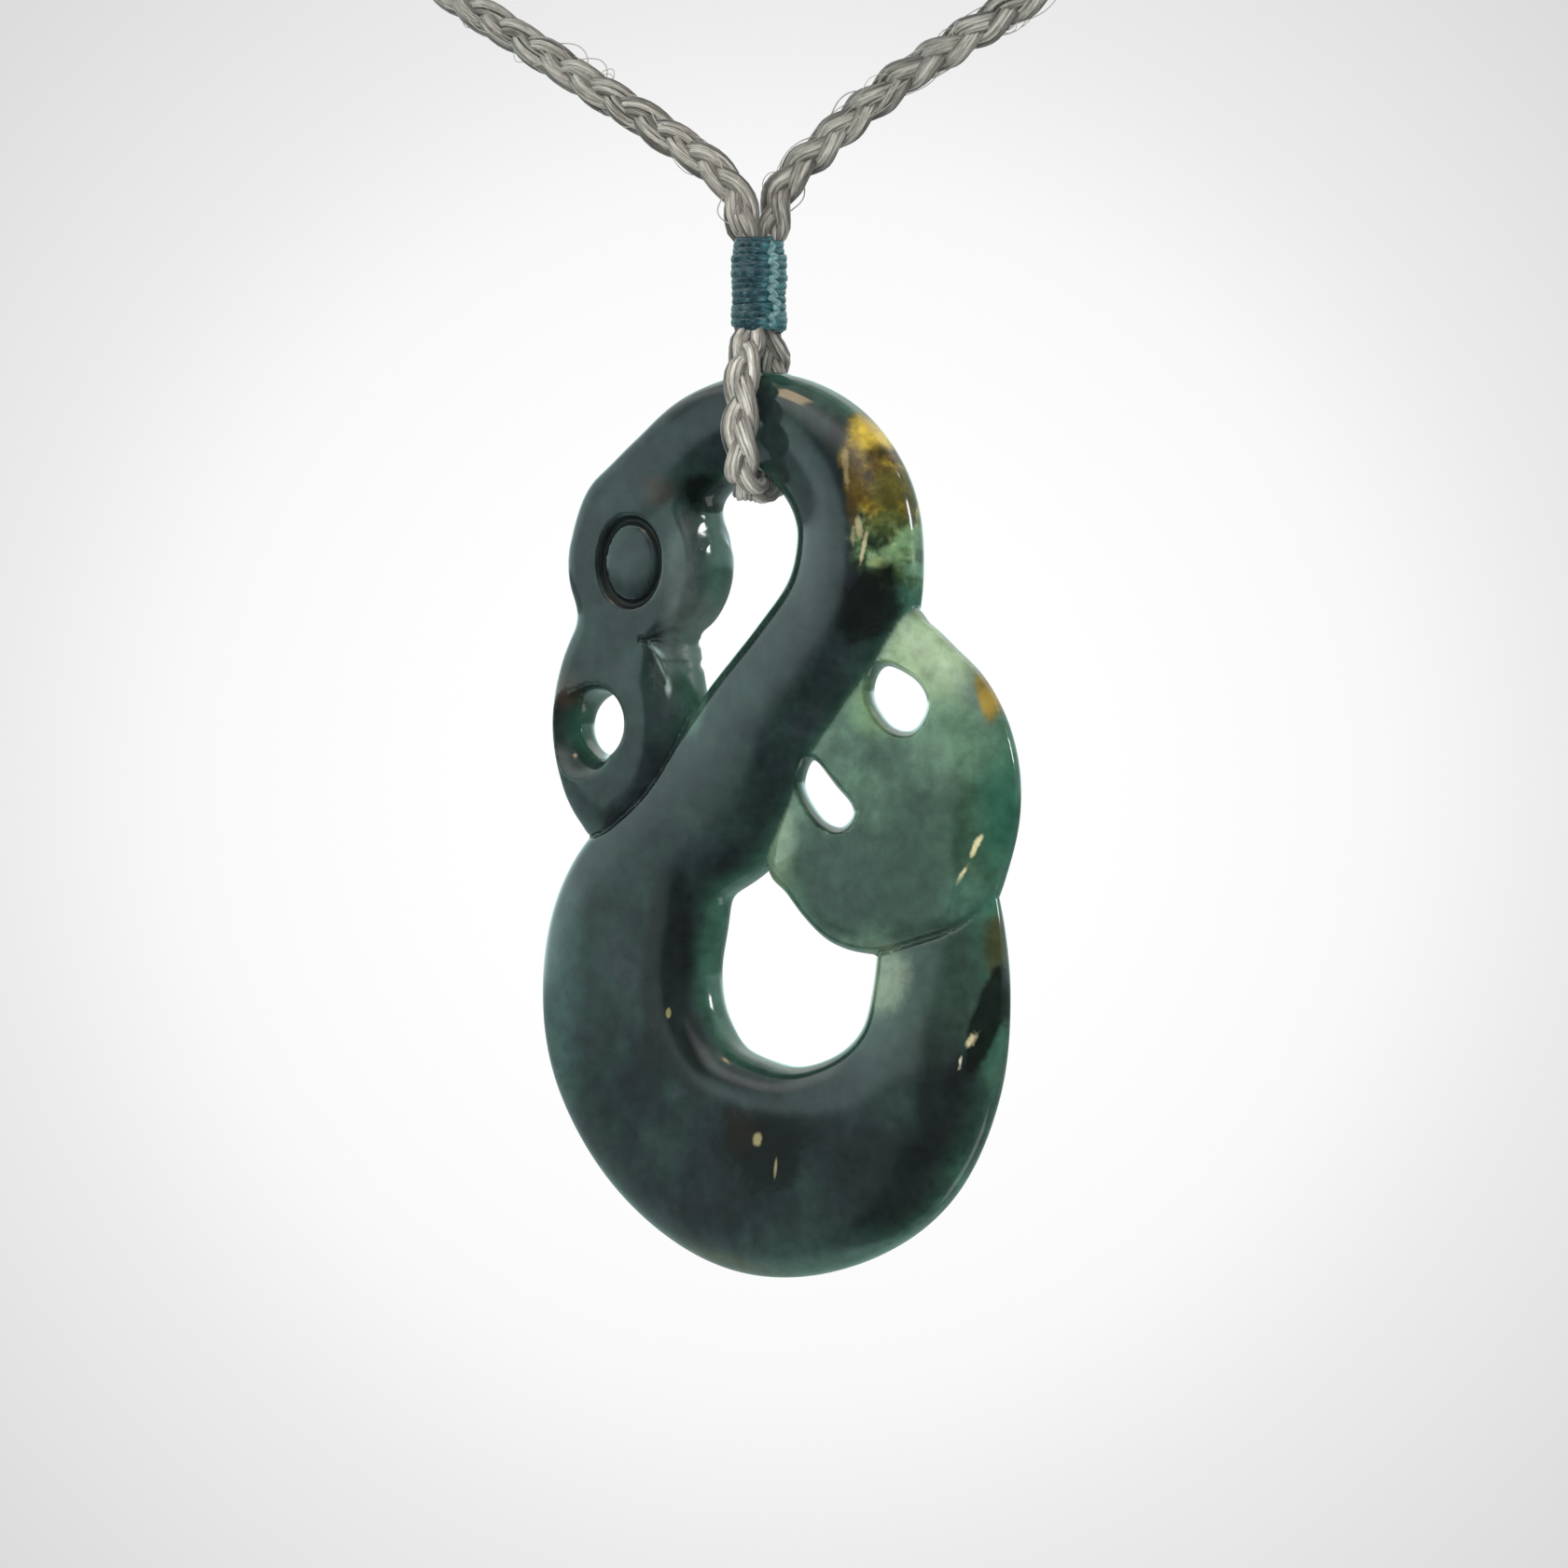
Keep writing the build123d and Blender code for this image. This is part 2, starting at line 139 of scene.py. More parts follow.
# across: from the hanging line, share of STONE_WIDE. up: share of STONE_TALL.
# half: half the limb's width, share of LIMB_WIDE. deep: half its thickness, share of STONE_THICK.
# round: 2 for an oval section, more for a flatter face with a tighter edge.
LIMB = (
    # across, up, half, deep, round
    (-0.259, 0.846, 0.283, 0.46, 3.0),   # brow
    (-0.181, 0.891, 0.260, 0.46, 3.0),
    (-0.092, 0.932, 0.250, 0.45, 2.8),
    (0.027, 0.949, 0.238, 0.45, 2.6),    # top bar, where the cord passes
    (0.138, 0.913, 0.292, 0.47, 2.5),
    (0.207, 0.857, 0.322, 0.49, 2.4),
    (0.220, 0.795, 0.346, 0.50, 2.4),    # neck
    (0.194, 0.729, 0.371, 0.50, 2.4),
    (0.112, 0.667, 0.371, 0.50, 2.5),
    (0.024, 0.605, 0.383, 0.50, 2.7),
    (-0.070, 0.525, 0.404, 0.50, 3.6),   # chest
    (-0.190, 0.467, 0.344, 0.50, 5.0),
    (-0.254, 0.400, 0.441, 0.50, 6.5),
    (-0.281, 0.331, 0.467, 0.50, 7.0),   # back
    (-0.261, 0.247, 0.482, 0.50, 7.0),
    (-0.170, 0.165, 0.484, 0.50, 6.5),
    (-0.024, 0.118, 0.513, 0.50, 7.0),   # foot
    (0.124, 0.114, 0.496, 0.50, 6.0),
    (0.273, 0.151, 0.471, 0.49, 3.8),
    (0.367, 0.225, 0.408, 0.47, 2.8),
    (0.396, 0.309, 0.386, 0.34, 2.8),    # tail
    (0.397, 0.375, 0.365, 0.23, 2.8),
    (0.394, 0.427, 0.325, 0.15, 2.8),
)
JAW = (
    # across, up, half, deep, round
    (-0.264, 0.720, 0.270, 0.48, 2.5),
    (-0.276, 0.665, 0.374, 0.48, 2.5),
    (-0.278, 0.611, 0.425, 0.48, 2.5),
    (-0.276, 0.560, 0.377, 0.48, 2.5),
    (-0.292, 0.518, 0.240, 0.48, 2.5),
)
HEAD = (-0.240, 0.791, 0.432, 0.450)
CUTS = (
    # from across, up, to across, up, width and depth in mm
    (-0.215, 0.704, -0.050, 0.724, 1.0, 0.38),   # mouth
    (-0.205, 0.706, -0.168, 0.655, 0.8, 0.35),   # down the jaw's side
    (-0.190, 0.706, -0.118, 0.699, 0.9, 0.40),
    (-0.172, 0.680, -0.110, 0.672, 0.9, 0.30),
    (-0.088, 0.852, -0.098, 0.803, 0.8, 0.40),   # behind the eye
)
EYE = (-0.2385, 0.792)
JAW_HOLE = (-0.324, 0.611)
LOBE = (
    # across, up
    (0.315, 0.738), (0.370, 0.720), (0.421, 0.695), (0.485, 0.660), (0.533, 0.613), (0.558, 0.560),
    (0.558, 0.505), (0.536, 0.455), (0.497, 0.405), (0.430, 0.371), (0.333, 0.354), (0.254, 0.354),
    (0.190, 0.361), (0.139, 0.378), (0.073, 0.418), (0.026, 0.455), (0.045, 0.564), (0.167, 0.682),
)
LOBE_HOLES = (
    # across, up
    (
        (0.285, 0.673), (0.345, 0.656), (0.367, 0.631), (0.339, 0.604),
        (0.291, 0.607), (0.252, 0.635), (0.256, 0.662),
    ),
    (
        (0.124, 0.569), (0.170, 0.541), (0.208, 0.515), (0.183, 0.496),
        (0.139, 0.505), (0.102, 0.535), (0.103, 0.556),
    ),
)

# The plait's route from its left end in the clasp, down to the stone and back up the right side, in metres.
BIGHT_LEFT = (0.0011, -0.15405, -0.1136)
BIGHT_RIGHT = (-0.0011, -0.14595, -0.1131)
ROUTE = (
    (-0.0006, 0.0024, 0.0),
    (-0.01225, 0.0024, 0.0),
    (-0.0285, -0.001, -0.0022),
    (-0.046, -0.013, -0.0075),
    (-0.061, -0.0305, -0.0145),
    (-0.071, -0.052, -0.024),
    (-0.0745, -0.077, -0.035),
    (-0.071, -0.102, -0.046),
    (-0.061, -0.1245, -0.057),
    (-0.0455, -0.1405, -0.0685),
    (-0.027, -0.149, -0.0795),
    (-0.0156, -0.1505, -0.0858),
    (-0.0098, -0.1508, -0.08915),
    (-0.0052, -0.151, -0.0917),
    (-0.0017, -0.1511, -0.09405),
    (-0.0002, -0.1512, -0.0963),
    (0.0001, -0.1512, -0.10416),
    (0.0012, -0.15405, -0.10643),
    BIGHT_LEFT,
    BIGHT_RIGHT,
    (-0.0012, -0.14595, -0.10643),
    (-0.0001, -0.1488, -0.10416),
    (0.0001, -0.1488, -0.0964),
    (0.0012, -0.149, -0.0942),
    (0.0048, -0.1492, -0.0917),
    (0.0098, -0.1494, -0.0883),
    (0.0156, -0.1496, -0.0856),
    (0.0275, -0.1485, -0.0788),
    (0.046, -0.14, -0.068),
    (0.061, -0.124, -0.0575),
    (0.071, -0.102, -0.0465),
    (0.074, -0.077, -0.0355),
    (0.071, -0.052, -0.0245),
    (0.0605, -0.03, -0.015),
    (0.0455, -0.0125, -0.007),
    (0.0285, -0.0008, -0.002),
    (0.01225, 0.0024, 0.0),
    (0.0006, 0.0024, 0.0),
)

# Plait: three strands of yarns laid flat beside each other
PLAIT_STEP = 0.45
PLAIT_LAY = 8.4
STRAND_SIDEWAYS = 0.60
STRAND_DEEP = 0.44
STRAND_HALF_WIDE = 0.40
STRAND_HALF_DEEP = 0.20
YARNS = 14
YARN_WIDE = 0.32
YARN_SIDES = 5
YARN_TURN = 31.0
# Inside the binding both runs are squeezed and pulled together, and eased at its two ends
BOUND_SQUEEZE = 0.30
BOUND_PULL = 0.12
BOUND_EASE = 0.8
# How a measure wanders along its line: every so many steps a new aim, and how far off it is
PLAIT_UNEVEN = (30, 0.05)
STRAND_WANDER = (22, 0.10)
YARN_WANDER = (12, 0.35)
YARN_LOOSE = (10, 0.16)
YARN_SWELL = (12, 0.15)
BIND_UNEVEN = (15, 0.02)
BIND_BULGE = (130, 0.03)
THREAD_WANDER = (16, 0.07)
THREAD_SWELL = (12, 0.13)

# Binding thread. Its turns draw in at the foot and twice towards the top, over these shares of the way up
BIND_TURNS = 14
TURN_POINTS = 64
THREAD_WIDE = 0.60
THREAD_FLAT = 0.55
THREAD_SIDES = 8
BIND_ACROSS = 2.86
BIND_FRONT_BACK = 4.95
BIND_CORNERS = 2.4
LEVEL_TURNS = 0.7
TAPER_POWER = 1.6
BIND_FOOT_TAPER, FOOT_TAPER_AT = 0.16, (0.2, 0.0)
BIND_TOP_STEP, TOP_STEP_AT = 0.08, (0.80, 0.84)
BIND_TOP_TAPER, TOP_TAPER_AT = 0.10, (0.88, 1.0)
BIND_HALF_X = 0.5 * (BIND_ACROSS - THREAD_WIDE)
BIND_HALF_Y = 0.5 * (BIND_FRONT_BACK - THREAD_WIDE)
# Its half hitches, with angles in degrees round from the front towards +X
HITCHES = 19
HITCH_SPAN = (0.02, 0.98)
HITCH_TURN = 80.0
HITCH_SWING = 7.0
HITCH_STRAY = 4.0
HITCH_UP_STRAY = 0.04
HITCH_WIDE = 0.40
HITCH_LIFT = 0.04
HITCH_STANDS_OUT = 1.12
HITCH_PARTS = 4
# The core under it
CORE_RINGS = 9
CORE_SIDES = 32
CORE_SHORTER = 0.35
CORE_SLIMMER = 0.1
CORE_TAPER = 0.2

# Stray fibres that stand off the plait
FUZZ = 1400
FUZZ_WIDE = 0.055
FUZZ_LONG = (0.8, 3.5)
FUZZ_HIGH = 0.31
FUZZ_LEAST_HIGH = 0.05
FUZZ_ENDS = 4.0
FUZZ_BEND = 0.25
FUZZ_ROOT = 0.85
FUZZ_OVER_WIDE, FUZZ_OVER_DEEP = 1.08, 0.75
FUZZ_LEAN = (0.7, 0.6)
FUZZ_POINTS = 9
FUZZ_SIDES = 4
FUZZ_SHADE_STEP = 7.3
FUZZ_OFF_BINDING = 0.6
FUZZ_OFF_STONE = 0.5
FUZZ_LOOPS = (
    # along the plait from its left end in mm, degrees round it, length, height, width
    (257.6, 32.0, 3.2, 1.0, 0.10),
    (258.6, 40.0, 2.0, 0.8, 0.08),
    (301.6, 148.0, 2.6, 0.8, 0.09),
    (290.6, 148.0, 2.8, 0.8, 0.09),
    (241.6, 190.0, 3.0, 0.8, 0.08),
    (243.8, 185.0, 2.4, 0.7, 0.07),
    (308.4, 10.0, 3.0, 0.5, 0.09),
)


def smooth_line(rows, closed=False):
    """A smooth curve through the rows of a table, in millimetres, every column alike."""
    p = np.array(rows, float) * (STONE_WIDE, STONE_TALL, LIMB_WIDE, STONE_THICK, 1.0)[:len(rows[0])]
    if closed:
        p = np.vstack([p[-1:], p, p[:2]])
    else:
        p = np.vstack([2 * p[:1] - p[1:2], p, 2 * p[-1:] - p[-2:-1]])
    t = np.arange(CURVE_SPAN)[:, None] / CURVE_SPAN
    spans = []
    for a, b, c, d in zip(p[:-3], p[1:-2], p[2:-1], p[3:]):
        bend = (2 * a - 5 * b + 4 * c - d) * t ** 2 + (3 * b - a - 3 * c + d) * t ** 3
        spans.append(0.5 * (2 * b + (c - a) * t + bend))
    if not closed:
        spans.append(p[-2:-1])
    return np.vstack(spans)


def share_past(value, bounds):
    """How far a value has come from the first bound to the second: 0 before it, 1 after it."""
    return np.clip((value - bounds[0]) / (bounds[1] - bounds[0]), 0.0, 1.0)


def between(share, start, end):
    return start + (end - start) * share


def crown(r, roundness):
    """Squared height of a rounded section, 1 in the middle and 0 at r = 1, below 0 outside."""
    inside = np.clip(1.0 - np.clip(r, 0.0, 1.0) ** roundness, 0.0, 1.0) ** (2.0 / roundness)
    return np.where(r < 1.0, inside, CROWN_FALL * (1.0 - r))


def rim(gap, width, roundness):
    """Squared height of a rounded edge: 0 at the outline, 1 from `width` inside it."""
    q = 1.0 - np.clip(gap / width, 0.0, 1.0)
    return np.where(gap > 0.0, (1.0 - q ** roundness) ** (2.0 / roundness), 2.0 * gap / width)


def blend(a, b, k):
    """The greater of two heights, filleted where they meet."""
    h = np.clip(k - np.abs(a - b), 0.0, None) / k
    return np.maximum(a, b) + 0.25 * k * h * h


def run_off(x, z, a, b):
    """Distance from the straight run between two places, and the share of the run that is nearest."""
    ex, ez = b[0] - a[0], b[1] - a[1]
    t = np.clip(((x - a[0]) * ex + (z - a[1]) * ez) / (ex * ex + ez * ez), 0.0, 1.0)
    return np.hypot(x - a[0] - t * ex, z - a[1] - t * ez), t


def near_part(lines, low, high, reach):
    """The stretch of grid lines within reach of a run from low to high."""
    return slice(*np.searchsorted(lines, (min(low, high) - reach, max(low, high) + reach)))


def softened(heights, spread):
    """Heights with their creases eased over `spread` millimetres, while the outline stays."""
    reach = int(3 * spread / HEIGHT_STEP)
    bell = np.exp(-0.5 * (np.arange(-reach, reach + 1) * HEIGHT_STEP / spread) ** 2)
    even = np.maximum(evened(heights), SOFTEN_FLOOR)
    for axis in (0, 1):
        even = np.apply_along_axis(np.convolve, axis, even, bell / bell.sum(), "same")
    return np.where(even > 0.0, np.abs(even) ** (2.0 / FIELD_POWER), even / OUTSIDE_SLOPE)


def limb_height(xs, zs, table):
    """Squared half thickness of a rounded limb along the table, and the distance inside its outline."""
    line = smooth_line(table)
    best = np.full((len(xs), len(zs)), FAR_OUTSIDE)
    gap = best.copy()
    for a, b in zip(line[:-1], line[1:]):
        reach = a[2] + LIMB_MARGIN
        part = (near_part(xs, a[0], b[0], reach), near_part(zs, a[1], b[1], reach))
        off, t = run_off(xs[part[0], None], zs[None, part[1]], a, b)
        half = a[2] + t * (b[2] - a[2])
        section = crown(off / half, 0.5 * (a[4] + b[4]))
        best[part] = np.maximum(best[part], (a[3] + t * (b[3] - a[3])) ** 2 * section)
        gap[part] = np.maximum(gap[part], half - off)
    return softened(best, LIMB_SOFTEN), gap


def outline_gap(xs, zs, table, reach):
    """Distance to a closed outline, above 0 inside it, worked out as far as `reach`."""
    line = smooth_line(table, closed=True)
    inside = np.zeros((len(xs), len(zs)), bool)
    near = np.full((len(xs), len(zs)), reach)
    for a, b in zip(line, np.roll(line, -1, axis=0)):
        part = (near_part(xs, a[0], b[0], reach), near_part(zs, a[1], b[1], reach))
        e = b - a
        near[part] = np.minimum(near[part], run_off(xs[part[0], None], zs[None, part[1]], a, b)[0])
        if a[1] != b[1]:
            rows = np.flatnonzero((a[1] > zs) != (b[1] > zs))
            crossing = e[0] * (zs[rows] - a[1]) / e[1] + a[0]
            inside[:, rows] ^= xs[:, None] < crossing
    return np.where(inside, near, -near)


def oval(x, z, centre, half_wide, half_tall):
    """Distance from an oval's centre, 1 on its rim."""
    return np.hypot((x - centre[0] * STONE_WIDE) / half_wide, (z - centre[1] * STONE_TALL) / half_tall)


def crease_where(a, b, share):
    """Where two heights are alike, and so one form lies on the other."""
    return np.exp(-(np.abs(a - b) / CREASE_WIDE) ** 2) * share * np.clip(np.minimum(a, b), 0.0, 1.0)


def face_height(x, z, limb_gap, jaw_gap):
    """Squared half thickness of the flat face."""
    head_wide, head_tall = HEAD[2] * LIMB_WIDE, HEAD[3] * LIMB_WIDE
    head_gap = (1.0 - oval(x, z, HEAD[:2], head_wide, head_tall)) * 0.5 * (head_wide + head_tall)
    below_brow = BROW_LOW_FADE * np.clip(BROW_LOW - z, 0.0, None)
    brow_gap = limb_gap - below_brow - np.clip(x - BROW_ACROSS[1], 0.0, None)
    gap = blend(blend(head_gap, jaw_gap, FACE_BLEND), brow_gap, BROW_BLEND)
    lower = share_past(z, FACE_LOWER) * share_past(x, FACE_LOWER_ACROSS)
    sinking = 1.0 - BROW_SINKS * share_past(x, BROW_ACROSS) ** 2 * share_past(z, BROW_UP)
    edge = between(lower, FACE_EDGE, FACE_LOWER_EDGE)
    return (0.5 * FACE_THICK * sinking) ** 2 * rim(gap, edge, FACE_ROUND)


def jaw_hole_height(x, z):
    """Squared half thickness round the jaw's hole, whose bevel is widest at its lower left."""
    beyond = (oval(x, z, JAW_HOLE, 0.5 * JAW_HOLE_WIDE, 0.5 * JAW_HOLE_TALL) - 1.0) * 0.5 * JAW_HOLE_WIDE
    from_x, from_z = np.broadcast_arrays(x - JAW_HOLE[0] * STONE_WIDE, z - JAW_HOLE[1] * STONE_TALL)
    towards = from_x * JAW_HOLE_WIDER_AT[0] + from_z * JAW_HOLE_WIDER_AT[1]
    wider = np.clip(towards / np.hypot(from_x, from_z), 0.0, 1.0)
    edge = JAW_HOLE_EDGE + JAW_HOLE_WIDER_EDGE * wider
    return (0.5 * STONE_THICK) ** 2 * rim(beyond, edge, JAW_HOLE_ROUND)


def cut_depths(x, z):
    """How deep the eye's ring, its dome and the straight cuts go, and the share that is the ring's."""
    eye = oval(x, z, EYE, 0.5 * EYE_WIDE, 0.5 * EYE_TALL)
    off = (eye - 1.0) * 0.25 * (EYE_WIDE + EYE_TALL)
    eye_x = EYE[0] * STONE_WIDE
    outer = EYE_CUT_WIDE + EYE_CUT_WIDER_LEFT * share_past(x, (eye_x, eye_x - EYE_WIDE)) * (off > 0)
    ring = np.clip(1.0 - (2.0 * off / outer) ** 2, 0.0, 1.0)
    cut = EYE_CUT_DEEP * ring
    for from_x, from_z, to_x, to_z, wide, deep in CUTS:
        start, end = (from_x * STONE_WIDE, from_z * STONE_TALL), (to_x * STONE_WIDE, to_z * STONE_TALL)
        off, reach = run_off(x, z, start, end)
        half = 0.5 * wide * (1.0 - CUT_TAPER * np.abs(2.0 * reach - 1.0))
        cut = np.maximum(cut, deep * np.clip(1.0 - (off / half) ** 2, 0.0, 1.0))
    return np.maximum(cut, EYE_DOME * np.where(eye < 1.0, eye, 0.0) ** 3), ring


def stone_heights(xs, zs):
    """Squared half thickness of the stone over a grid, and the same of the lobe's leaning holes."""
    x, z = xs[:, None], zs[None, :]
    limb, limb_gap = limb_height(xs, zs, LIMB)
    face = face_height(x, z, limb_gap, limb_height(xs, zs, JAW)[1])
    # the lobe's edge is bluffer at its foot, where it lies on the tail
    lobe_edge = between(share_past(z, LOBE_FOOT), LOBE_EDGE, LOBE_FOOT_EDGE)
    lobe = (0.5 * LOBE_THICK) ** 2 * rim(outline_gap(xs, zs, LOBE, LOBE_EDGE), lobe_edge, LOBE_ROUND)
    # the face runs smoothly into the brow, while the jaw's lower end lies on the chest
    s = blend(blend(face, limb, between(share_past(z, JAW_FREE), JAW_BLEND, BROW_BLEND)), lobe, LOBE_BLEND)
    crease = crease_where(face, limb, share_past(z, JAW_CREASE_UP) * (x < JAW_CREASE_RIGHT))
    crease = crease + crease_where(lobe, limb, share_past(z, TAIL_CREASE_UP))
    # the foot thins gently towards its lower edge
    s = s * (1.0 - FOOT_THINS_BY * share_past(z, (FOOT_THINS_FROM, 0.0)) ** 2) ** 2
    s = np.minimum(s, jaw_hole_height(x, z))
    cut, ring = cut_depths(x, z)
    cut = cut + CREASE_DEEP * crease
    s = s - 2.0 * np.sqrt(np.clip(s, 0.0, None)) * cut + cut * cut
    holes = np.full_like(s, (0.5 * STONE_THICK) ** 2)
    for hole in LOBE_HOLES:
        beyond = -outline_gap(xs, zs, hole, LOBE_HOLE_EDGE)
        holes = np.minimum(holes, (0.5 * STONE_THICK) ** 2 * rim(beyond, LOBE_HOLE_EDGE, LOBE_HOLE_ROUND))
    return s, holes, np.clip(lobe - limb, 0.0, 1.0), ring


def evened(s):
    """Heights raised to a power that makes their slope even where they pass 0."""
    return np.where(s > 0.0, np.abs(s) ** (0.5 * FIELD_POWER), OUTSIDE_SLOPE * s)


def spline_weights(t):
    """Shares of four neighbours in a smooth value between the middle two."""
    return (
        (1 - t) ** 3 / 6,
        (3 * t ** 3 - 6 * t ** 2 + 4) / 6,
        (3 * t ** 2 - 3 * t ** 3 + 3 * t + 1) / 6,
        t ** 3 / 6,
    )


def read_grid(grid, xs, zs, x, z):
    """Smooth value of a grid at any places."""
    u, v = (x - xs[0]) / HEIGHT_STEP, (z - zs[0]) / HEIGHT_STEP
    i = np.clip(np.floor(u).astype(int), 1, len(xs) - 3)
    j = np.clip(np.floor(v).astype(int), 1, len(zs) - 3)
    total = 0.0
    for a, across in enumerate(spline_weights(u - i)):
        for b, up in enumerate(spline_weights(v - j)):
            total = total + across * up * grid[i + a - 1, j + b - 1]
    return total


class Stone:
    """The stone's form: above 0 inside it."""

    def __init__(self):
        self.xs = np.arange(-0.55 * STONE_WIDE, 0.65 * STONE_WIDE, HEIGHT_STEP)
        self.zs = np.arange(-2.0, STONE_TALL + 2.0, HEIGHT_STEP)
        heights, holes, self.on_lobe, self.recess = stone_heights(self.xs, self.zs)
        self.body, self.holes = evened(heights), evened(holes)

    def value(self, p):
        x, y, z = p[..., 0], p[..., 1], p[..., 2]
        lean = x + y * math.tan(math.radians(LOBE_HOLE_LEAN))
        body = read_grid(self.body, self.xs, self.zs, x, z)
        holes = read_grid(self.holes, self.xs, self.zs, lean, z)
        return np.minimum(body, holes) - np.abs(y) ** FIELD_POWER

    def slope(self, p):
        slope = np.empty_like(p)
        for k in range(3):
            step = np.zeros(3)
            step[k] = SLOPE_STEP
            slope[..., k] = (self.value(p + step) - self.value(p - step)) / (2 * SLOPE_STEP)
        return slope


def surface_net(values, lines):
    """Points and four-sided faces of the surface where the values pass 0."""
    cells = tuple(n - 1 for n in values.shape)
    total = np.zeros(cells + (3,))
    count = np.zeros(cells)
    crossings = []
    for axis in range(3):
        before = [slice(None)] * 3
        after = [slice(None)] * 3
        before[axis], after[axis] = slice(0, -1), slice(1, None)
        a, b = values[tuple(before)], values[tuple(after)]
        cross = (a > 0) != (b > 0)
        at = np.argwhere(cross)
        first = a[cross]
        point = np.stack([lines[k][at[:, k]] for k in range(3)], axis=1)
        point[:, axis] += first / (first - b[cross]) * (lines[axis][1] - lines[axis][0])
        u, w = (axis + 1) % 3, (axis + 2) % 3
        around = []
        for du, dw in ((-1, -1), (0, -1), (0, 0), (-1, 0)):
            cell = at.copy()
            cell[:, u] += du
            cell[:, w] += dw
            np.add.at(total, tuple(cell.T), point)
            np.add.at(count, tuple(cell.T), 1)
            around.append(cell)
        crossings.append((around, first > 0))
    number = np.full(cells, -1)
    number[count > 0] = np.arange(np.count_nonzero(count))
    points = total[count > 0] / count[count > 0][:, None]
    faces = []
    for around, rising in crossings:
        ring = np.stack([number[tuple(cell.T)] for cell in around], axis=1)
        ring[~rising] = ring[~rising][:, ::-1]
        faces.append(ring)
    return points, np.vstack(faces)


def settled(points, form):
    """The points moved onto the surface along its slope, and their outward directions."""
    p = points.copy()
    for _ in range(SETTLE_ROUNDS):
        slope = form.slope(p)
        move = -(form.value(p) / np.maximum((slope ** 2).sum(1), 0.01))[:, None] * slope
        size = np.linalg.norm(move, axis=1)[:, None]
        p += move * np.minimum(1.0, SETTLE_SHARE * MESH_STEP / np.maximum(size, 1e-9))
    slope = form.slope(p)
    return p, -slope / np.maximum(np.linalg.norm(slope, axis=1), 1e-9)[:, None]


def make_piece(name, points, faces, body, replaced=(), normals=None):
    """A smooth mesh object from points in metres, on its body."""
    mesh = bpy.data.meshes.new(name)
    mesh.from_pydata(points, [], faces)
    mesh.shade_smooth()
    if normals is not None:
        mesh.normals_split_custom_set_from_vertices(normals)
    piece = bpy.data.objects.new(name, mesh)
    scene.collection.objects.link(piece)
    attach(piece, body)
    if replaced:
        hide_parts(*replaced)
    return piece


def store(piece, name, values):
    """Keeps one number or three for each point, for a material to read."""
    kind, part = ("FLOAT", "value") if values.ndim == 1 else ("FLOAT_VECTOR", "vector")
    attribute = piece.data.attributes.new(name, kind, "POINT")
    attribute.data.foreach_set(part, values.astype(np.float32).ravel())


def make_stone():
    """The polished stone at its place below the nape."""
    form = Stone()
    low = (STONE_LEFT * STONE_WIDE, -0.5 * STONE_THICK, 0.0)
    high = (STONE_RIGHT * STONE_WIDE, 0.5 * STONE_THICK, STONE_TALL)
    before, after = GRID_MARGINS[0] * MESH_STEP, GRID_MARGINS[1] * MESH_STEP
    lines = [np.arange(a - before, b + after, MESH_STEP) for a, b in zip(low, high)]
    nodes = np.stack(np.meshgrid(*lines, indexing="ij"), axis=-1)
    points, faces = surface_net(form.value(nodes), lines)
    points, normals = settled(points, form)
    place = (points + (0.0, -REACH, STONE_FOOT)) * MM
    piece = make_piece("stone", place, faces, "pendant", ("manaia_stone",), normals)
    for name, grid in (("on_lobe", form.on_lobe), ("recess", form.recess)):
        store(piece, name, read_grid(grid, form.xs, form.zs, points[:, 0], points[:, 2]))
    return piece


def rows_at(places, along, rows):
    """Rows of a table read at any places between them."""
    return np.stack([np.interp(places, along, column) for column in rows.T], axis=1)


def route_line(points):
    """The route's smooth line in millimetres, read from its spline at even steps."""
    curve = bpy.data.curves.new("plait_route", "CURVE")
    curve.dimensions = "3D"
    curve.resolution_u = 40
    spline = curve.splines.new("NURBS")
    spline.points.add(len(points) - 1)
    for point, place in zip(spline.points, points):
        point.co = (*place, 1.0)
    spline.order_u = 3
    spline.use_endpoint_u = True
    holder = bpy.data.objects.new("plait_route", curve)
    mesh = bpy.data.meshes.new_from_object(holder)
    line = np.array([v.co for v in mesh.vertices]) / MM
    bpy.data.objects.remove(holder)
    bpy.data.meshes.remove(mesh)
    bpy.data.curves.remove(curve)
    along = np.concatenate([[0.0], np.cumsum(np.linalg.norm(np.diff(line, axis=0), axis=1))])
    steps = np.linspace(0.0, along[-1], int(along[-1] / PLAIT_STEP))
    return rows_at(steps, along, line), steps


def unit(vectors):
    return vectors / np.linalg.norm(vectors, axis=-1, keepdims=True)


def carried_normals(line, tangents, start, normal):
    """A direction across the line, carried along it both ways without twist."""
    normals = np.zeros_like(line)
    normals[start] = normal
    for order in (range(start + 1, len(line)), range(start - 1, -1, -1)):
        last = normals[start]
        for i in order:
            last = unit(last - tangents[i] * (last @ tangents[i]))
            normals[i] = last
    return normals


def wander(count, every, size):
    """Seeded wander of a value along a line, a new aim each `every` steps."""
    knots = rng.normal(0.0, size, int(count / every) + 3)
    return np.interp(np.arange(count), np.arange(len(knots)) * every, knots)


def tube_mesh(line, side, up, radius, sides):
    """Points and faces of a tube whose sections lie in the directions `side` and `up`."""
    turn = 2.0 * np.pi * np.arange(sides) / sides
    ring = np.cos(turn)[None, :, None] * side[:, None] + np.sin(turn)[None, :, None] * up[:, None]
    points = (line[:, None] + ring * np.reshape(radius, (-1, 1, 1))).reshape(-1, 3)
    return points, ring_faces(len(line), sides)


